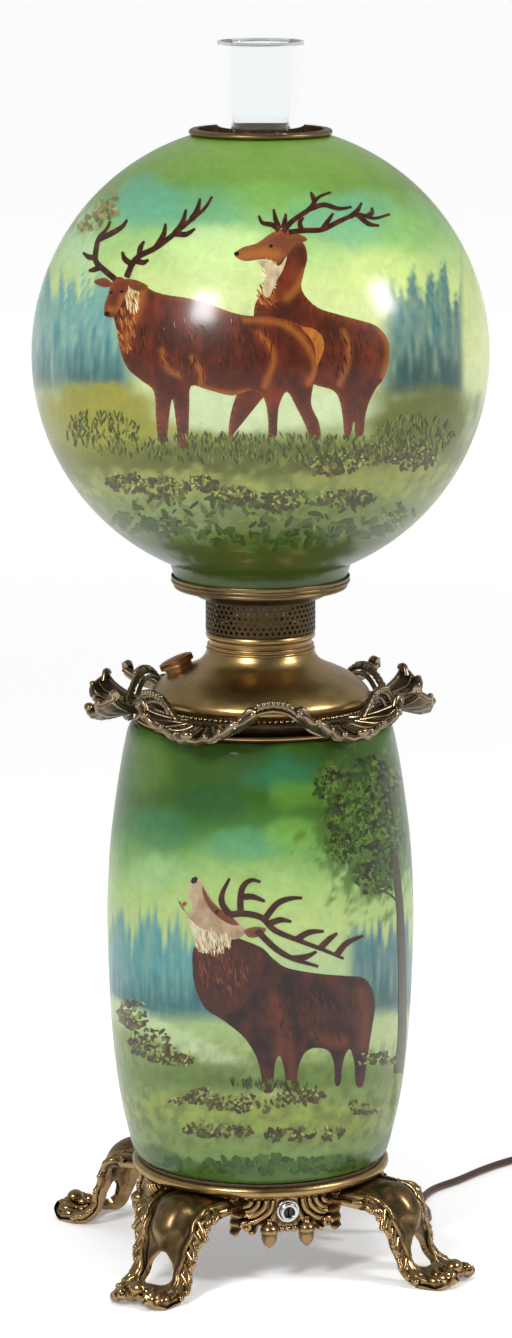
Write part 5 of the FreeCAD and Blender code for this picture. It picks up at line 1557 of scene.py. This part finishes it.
def scatter(bm, rng, count, middle, size, tints_used, leaf, lift, stretch=1.6):
    """Strews brush dabs over an oval patch of a picture."""
    for _ in range(count):
        angle, out = rng.uniform(0, FULL), math.sqrt(rng.random())
        place = (middle[0] + size[0] * out * math.cos(angle), middle[1] + size[1] * out * math.sin(angle))
        tint = rgb(*rng.choice(tints_used)) * rng.uniform(0.8, 1.2)
        dab(bm, place, leaf * rng.uniform(0.5, 1.15), stretch * rng.uniform(0.7, 1.5),
            rng.uniform(0, math.pi), tint, lift)


def grass(bm, rng, count, middle, size, tints_used, lift, blade=1.0):
    """Strews upright strokes of grass over an oval patch of a picture."""
    for _ in range(count):
        angle, out = rng.uniform(0, FULL), math.sqrt(rng.random())
        place = (middle[0] + size[0] * out * math.cos(angle), middle[1] + size[1] * out * math.sin(angle))
        tint = rgb(*rng.choice(tints_used)) * rng.uniform(0.8, 1.2)
        dab(bm, place, 0.5 * blade, rng.uniform(2.5, 5.5), math.pi / 2 + rng.uniform(-0.5, 0.5), tint, lift)


OLIVES = ((66, 76, 28), (84, 94, 36), (112, 122, 50), (56, 62, 22))
BRAMBLE = ((64, 48, 26), (80, 66, 36), (60, 66, 30), (92, 88, 42))
SPRIGS = ((136, 148, 70), (112, 128, 56), (148, 156, 84))
LEAVES = ((46, 68, 22), (62, 88, 30), (84, 112, 40), (42, 40, 16))


def build_foliage():
    """Brushed grass, brambles and leaves on both painted glasses."""
    rng = random.Random(11)
    for name, body, place, patches in (
        ("globe_foliage", "shade", on_globe, globe_foliage), ("body_foliage", "lamp_base", on_body,
                                                              body_foliage)):
        bm = bmesh.new()
        bm.verts.layers.float_color.new("paint")
        patches(bm, rng)
        wrap(bm, place)
        finished(bm, name, body, "painted_opal", sharpest=70)


def globe_foliage(bm, rng):
    grass(bm, rng, 420, (0, -50), (84, 8), OLIVES, 0.9)
    grass(bm, rng, 160, (-86, -42), (22, 12), OLIVES, 0.9)
    grass(bm, rng, 160, (84, -44), (22, 12), OLIVES, 0.9)
    for middle, size in (((-72, -70), (12, 5)), ((-52, -72), (13, 6)), ((-32, -70), (9, 4)),
                         ((-14, -76), (12, 5)), ((12, -78), (12, 5)),
                         ((38, -60), (16, 5)), ((62, -54), (18, 6)), ((84, -56), (12, 7)),
                         ((46, -78), (16, 5))):
        scatter(bm, rng, 70, middle, size, BRAMBLE, 1.25, 0.5)
        scatter(bm, rng, 18, (middle[0], middle[1] + 2), size, SPRIGS, 0.8, 0.7)
    scatter(bm, rng, 150, (0, -86), (86, 12), OLIVES, 1.5, 0.7, 2.4)
    scatter(bm, rng, 150, (-95, 84), (17, 17), ((120, 118, 66), (96, 98, 52), (142, 142, 84)), 1.5, 0.7)
    for step in range(46):
        across = -100 + step * 200 / 45
        up = -101 + 3.4 * math.cos(across * 0.42) + 0.0016 * across * across
        if across * across + up * up < (GLOBE_RAD - 4) ** 2:
            scatter(bm, rng, 3, (across, up), (2.5, 2.5), ((52, 74, 22), (64, 92, 30)), 2.2, 0.7)


def body_foliage(bm, rng):
    grass(bm, rng, 520, (22, 123), (52, 6), ((52, 66, 24), (68, 86, 30), (40, 50, 18), (92, 110, 44)), 0.9,
          1.2)
    for middle, size in (((-72, 158), (9, 8)), ((-62, 142), (12, 9)), ((-50, 132), (12, 6)),
                         ((-40, 112), (16, 5)), ((-8, 108), (22, 5)),
                         ((22, 112), (14, 4)), ((-24, 92), (20, 4)), ((24, 90), (26, 4)),
                         ((60, 108), (12, 7)), ((66, 128), (12, 9))):
        scatter(bm, rng, 70, middle, size, BRAMBLE, 1.2, 0.5)
        scatter(bm, rng, 20, (middle[0], middle[1] + 2), size, SPRIGS, 0.8, 0.7)
    for middle, size in (((62, 292), (16, 14)), ((52, 272), (16, 12)), ((68, 262), (12, 14)),
                         ((46, 254), (10, 8)), ((64, 238), (12, 10)),
                         ((40, 290), (10, 10))):
        scatter(bm, rng, 130, middle, size, LEAVES, 1.5, 0.8)
    for points, widths in (([(70, 300), (72, 276), (75, 250), (78, 222), (79.5, 192), (80, 166), (80, 144),
                             (78, 124)], (3.0, 4.4, 5.6)),
                           ([(76, 236), (70, 246), (62, 252), (54, 262)], (2.0, 1.4, 0.6)),
                           ([(74, 256), (66, 266), (60, 280)], (1.8, 1.2, 0.6)),
                           ([(78, 222), (72, 228), (64, 230)], (1.6, 1.0, 0.5))):
        enamel(bm, stroke_outline(points, widths),
               lambda point: rgb(62, 50,
                                 18) * (0.7 + 0.8 * abs(noise.noise(Vector((point.x, point.y / 6, 1))))),
               0.62)
    scatter(bm, rng, 110, (0, 72), (66, 4), ((50, 78, 24), (66, 96, 34)), 2.3, 0.7)


# ---------------------------------------------------------------- operators, panel and main

class LAMP_OT_stage(bpy.types.Operator):
    """Pale floor, soft studio lights, and the camera."""
    bl_idname = "lamp.stage"
    bl_label = "Stage"
    bl_options = {"REGISTER", "UNDO"}

    def execute(self, context):
        build_stage()
        return {"FINISHED"}


class LAMP_OT_frame_finishes(bpy.types.Operator):
    """Gives every CAD node that stays in sight the finish of its slot."""
    bl_idname = "lamp.frame_finishes"
    bl_label = "Frame Finishes"
    bl_options = {"REGISTER", "UNDO"}

    def execute(self, context):
        dress_frame()
        return {"FINISHED"}


class LAMP_OT_flex(bpy.types.Operator):
    """Brown flex with its gland, coil and plug."""
    bl_idname = "lamp.flex"
    bl_label = "Flex and Plug"
    bl_options = {"REGISTER", "UNDO"}

    def execute(self, context):
        build_flex()
        return {"FINISHED"}


class LAMP_OT_font(bpy.types.Operator):
    """Spun font shoulder, neck collar, filler cap and the burner's bead."""
    bl_idname = "lamp.font"
    bl_label = "Font"
    bl_options = {"REGISTER", "UNDO"}

    def execute(self, context):
        build_font()
        return {"FINISHED"}


class LAMP_OT_rings(bpy.types.Operator):
    """Rolled seat ring under the body, its collar above, and the globe's crimped rim."""
    bl_idname = "lamp.rings"
    bl_label = "Brass Rings"
    bl_options = {"REGISTER", "UNDO"}

    def execute(self, context):
        build_rings()
        return {"FINISHED"}


class LAMP_OT_burner(bpy.types.Operator):
    """Perforated air basket and the shade ring above it."""
    bl_idname = "lamp.burner"
    bl_label = "Burner"
    bl_options = {"REGISTER", "UNDO"}

    def execute(self, context):
        build_burner()
        return {"FINISHED"}


class LAMP_OT_chimney(bpy.types.Operator):
    """Clear chimney with its bulge low down and a fire-polished top."""
    bl_idname = "lamp.chimney"
    bl_label = "Chimney"
    bl_options = {"REGISTER", "UNDO"}

    def execute(self, context):
        build_chimney()
        return {"FINISHED"}


class LAMP_OT_crown(bpy.types.Operator):
    """Cast crown with pierced petals, roped edges and beaded arches."""
    bl_idname = "lamp.crown"
    bl_label = "Crown"
    bl_options = {"REGISTER", "UNDO"}

    def execute(self, context):
        build_crown()
        return {"FINISHED"}


class LAMP_OT_base(bpy.types.Operator):
    """Cast base: four legs on leafy feet, fluted aprons and hanging acorns."""
    bl_idname = "lamp.base"
    bl_label = "Base"
    bl_options = {"REGISTER", "UNDO"}

    def execute(self, context):
        build_base()
        return {"FINISHED"}


class LAMP_OT_switch(bpy.types.Operator):
    """Threaded nickel bushing of the rotary switch, and its ring nut."""
    bl_idname = "lamp.switch"
    bl_label = "Switch"
    bl_options = {"REGISTER", "UNDO"}

    def execute(self, context):
        build_switch()
        return {"FINISHED"}


class LAMP_OT_globe(bpy.types.Operator):
    """Opal ball shade with its painted landscape and two stags."""
    bl_idname = "lamp.globe"
    bl_label = "Painted Globe"
    bl_options = {"REGISTER", "UNDO"}

    def execute(self, context):
        build_globe()
        return {"FINISHED"}


class LAMP_OT_body(bpy.types.Operator):
    """Opal barrel body with its painted landscape and a roaring stag."""
    bl_idname = "lamp.body"
    bl_label = "Painted Body"
    bl_options = {"REGISTER", "UNDO"}

    def execute(self, context):
        build_body()
        return {"FINISHED"}


class LAMP_OT_foliage(bpy.types.Operator):
    """Brushed grass, brambles and leaves on both painted glasses."""
    bl_idname = "lamp.foliage"
    bl_label = "Painted Foliage"
    bl_options = {"REGISTER", "UNDO"}

    def execute(self, context):
        build_foliage()
        return {"FINISHED"}


STEPS = [
    LAMP_OT_stage, LAMP_OT_frame_finishes, LAMP_OT_flex, LAMP_OT_font, LAMP_OT_rings,
    LAMP_OT_burner, LAMP_OT_chimney, LAMP_OT_crown, LAMP_OT_base, LAMP_OT_switch, LAMP_OT_globe,
    LAMP_OT_body, LAMP_OT_foliage,
]


class LAMP_PT_panel(bpy.types.Panel):
    """Sizes, tints and pieces of the oil lamp"""
    bl_idname = "LAMP_PT_panel"
    bl_label = "Oil Lamp"
    bl_space_type = "VIEW_3D"
    bl_region_type = "UI"
    bl_category = "Oil Lamp"

    def draw(self, context):
        layout = self.layout
        for group in (context.scene.lamp_sizes, context.scene.lamp_tints):
            for name in group.__annotations__:
                layout.prop(group, name)
        for step in STEPS:
            layout.operator(step.bl_idname)


CLASSES = [LampSizes, LampTints, *STEPS, LAMP_PT_panel]


def register():
    for kind in CLASSES:
        bpy.utils.register_class(kind)
    bpy.types.Scene.lamp_sizes = bpy.props.PointerProperty(type=LampSizes)
    bpy.types.Scene.lamp_tints = bpy.props.PointerProperty(type=LampTints)


def unregister():
    del bpy.types.Scene.lamp_tints
    del bpy.types.Scene.lamp_sizes
    for kind in reversed(CLASSES):
        bpy.utils.unregister_class(kind)


def main():
    """Builds every piece in order."""
    register()
    bpy.ops.lamp.stage()
    bpy.ops.lamp.frame_finishes()
    bpy.ops.lamp.flex()
    bpy.ops.lamp.font()
    bpy.ops.lamp.rings()
    bpy.ops.lamp.burner()
    bpy.ops.lamp.chimney()
    bpy.ops.lamp.crown()
    bpy.ops.lamp.base()
    bpy.ops.lamp.switch()
    bpy.ops.lamp.globe()
    bpy.ops.lamp.body()
    bpy.ops.lamp.foliage()


if __name__ == "__main__":
    main()
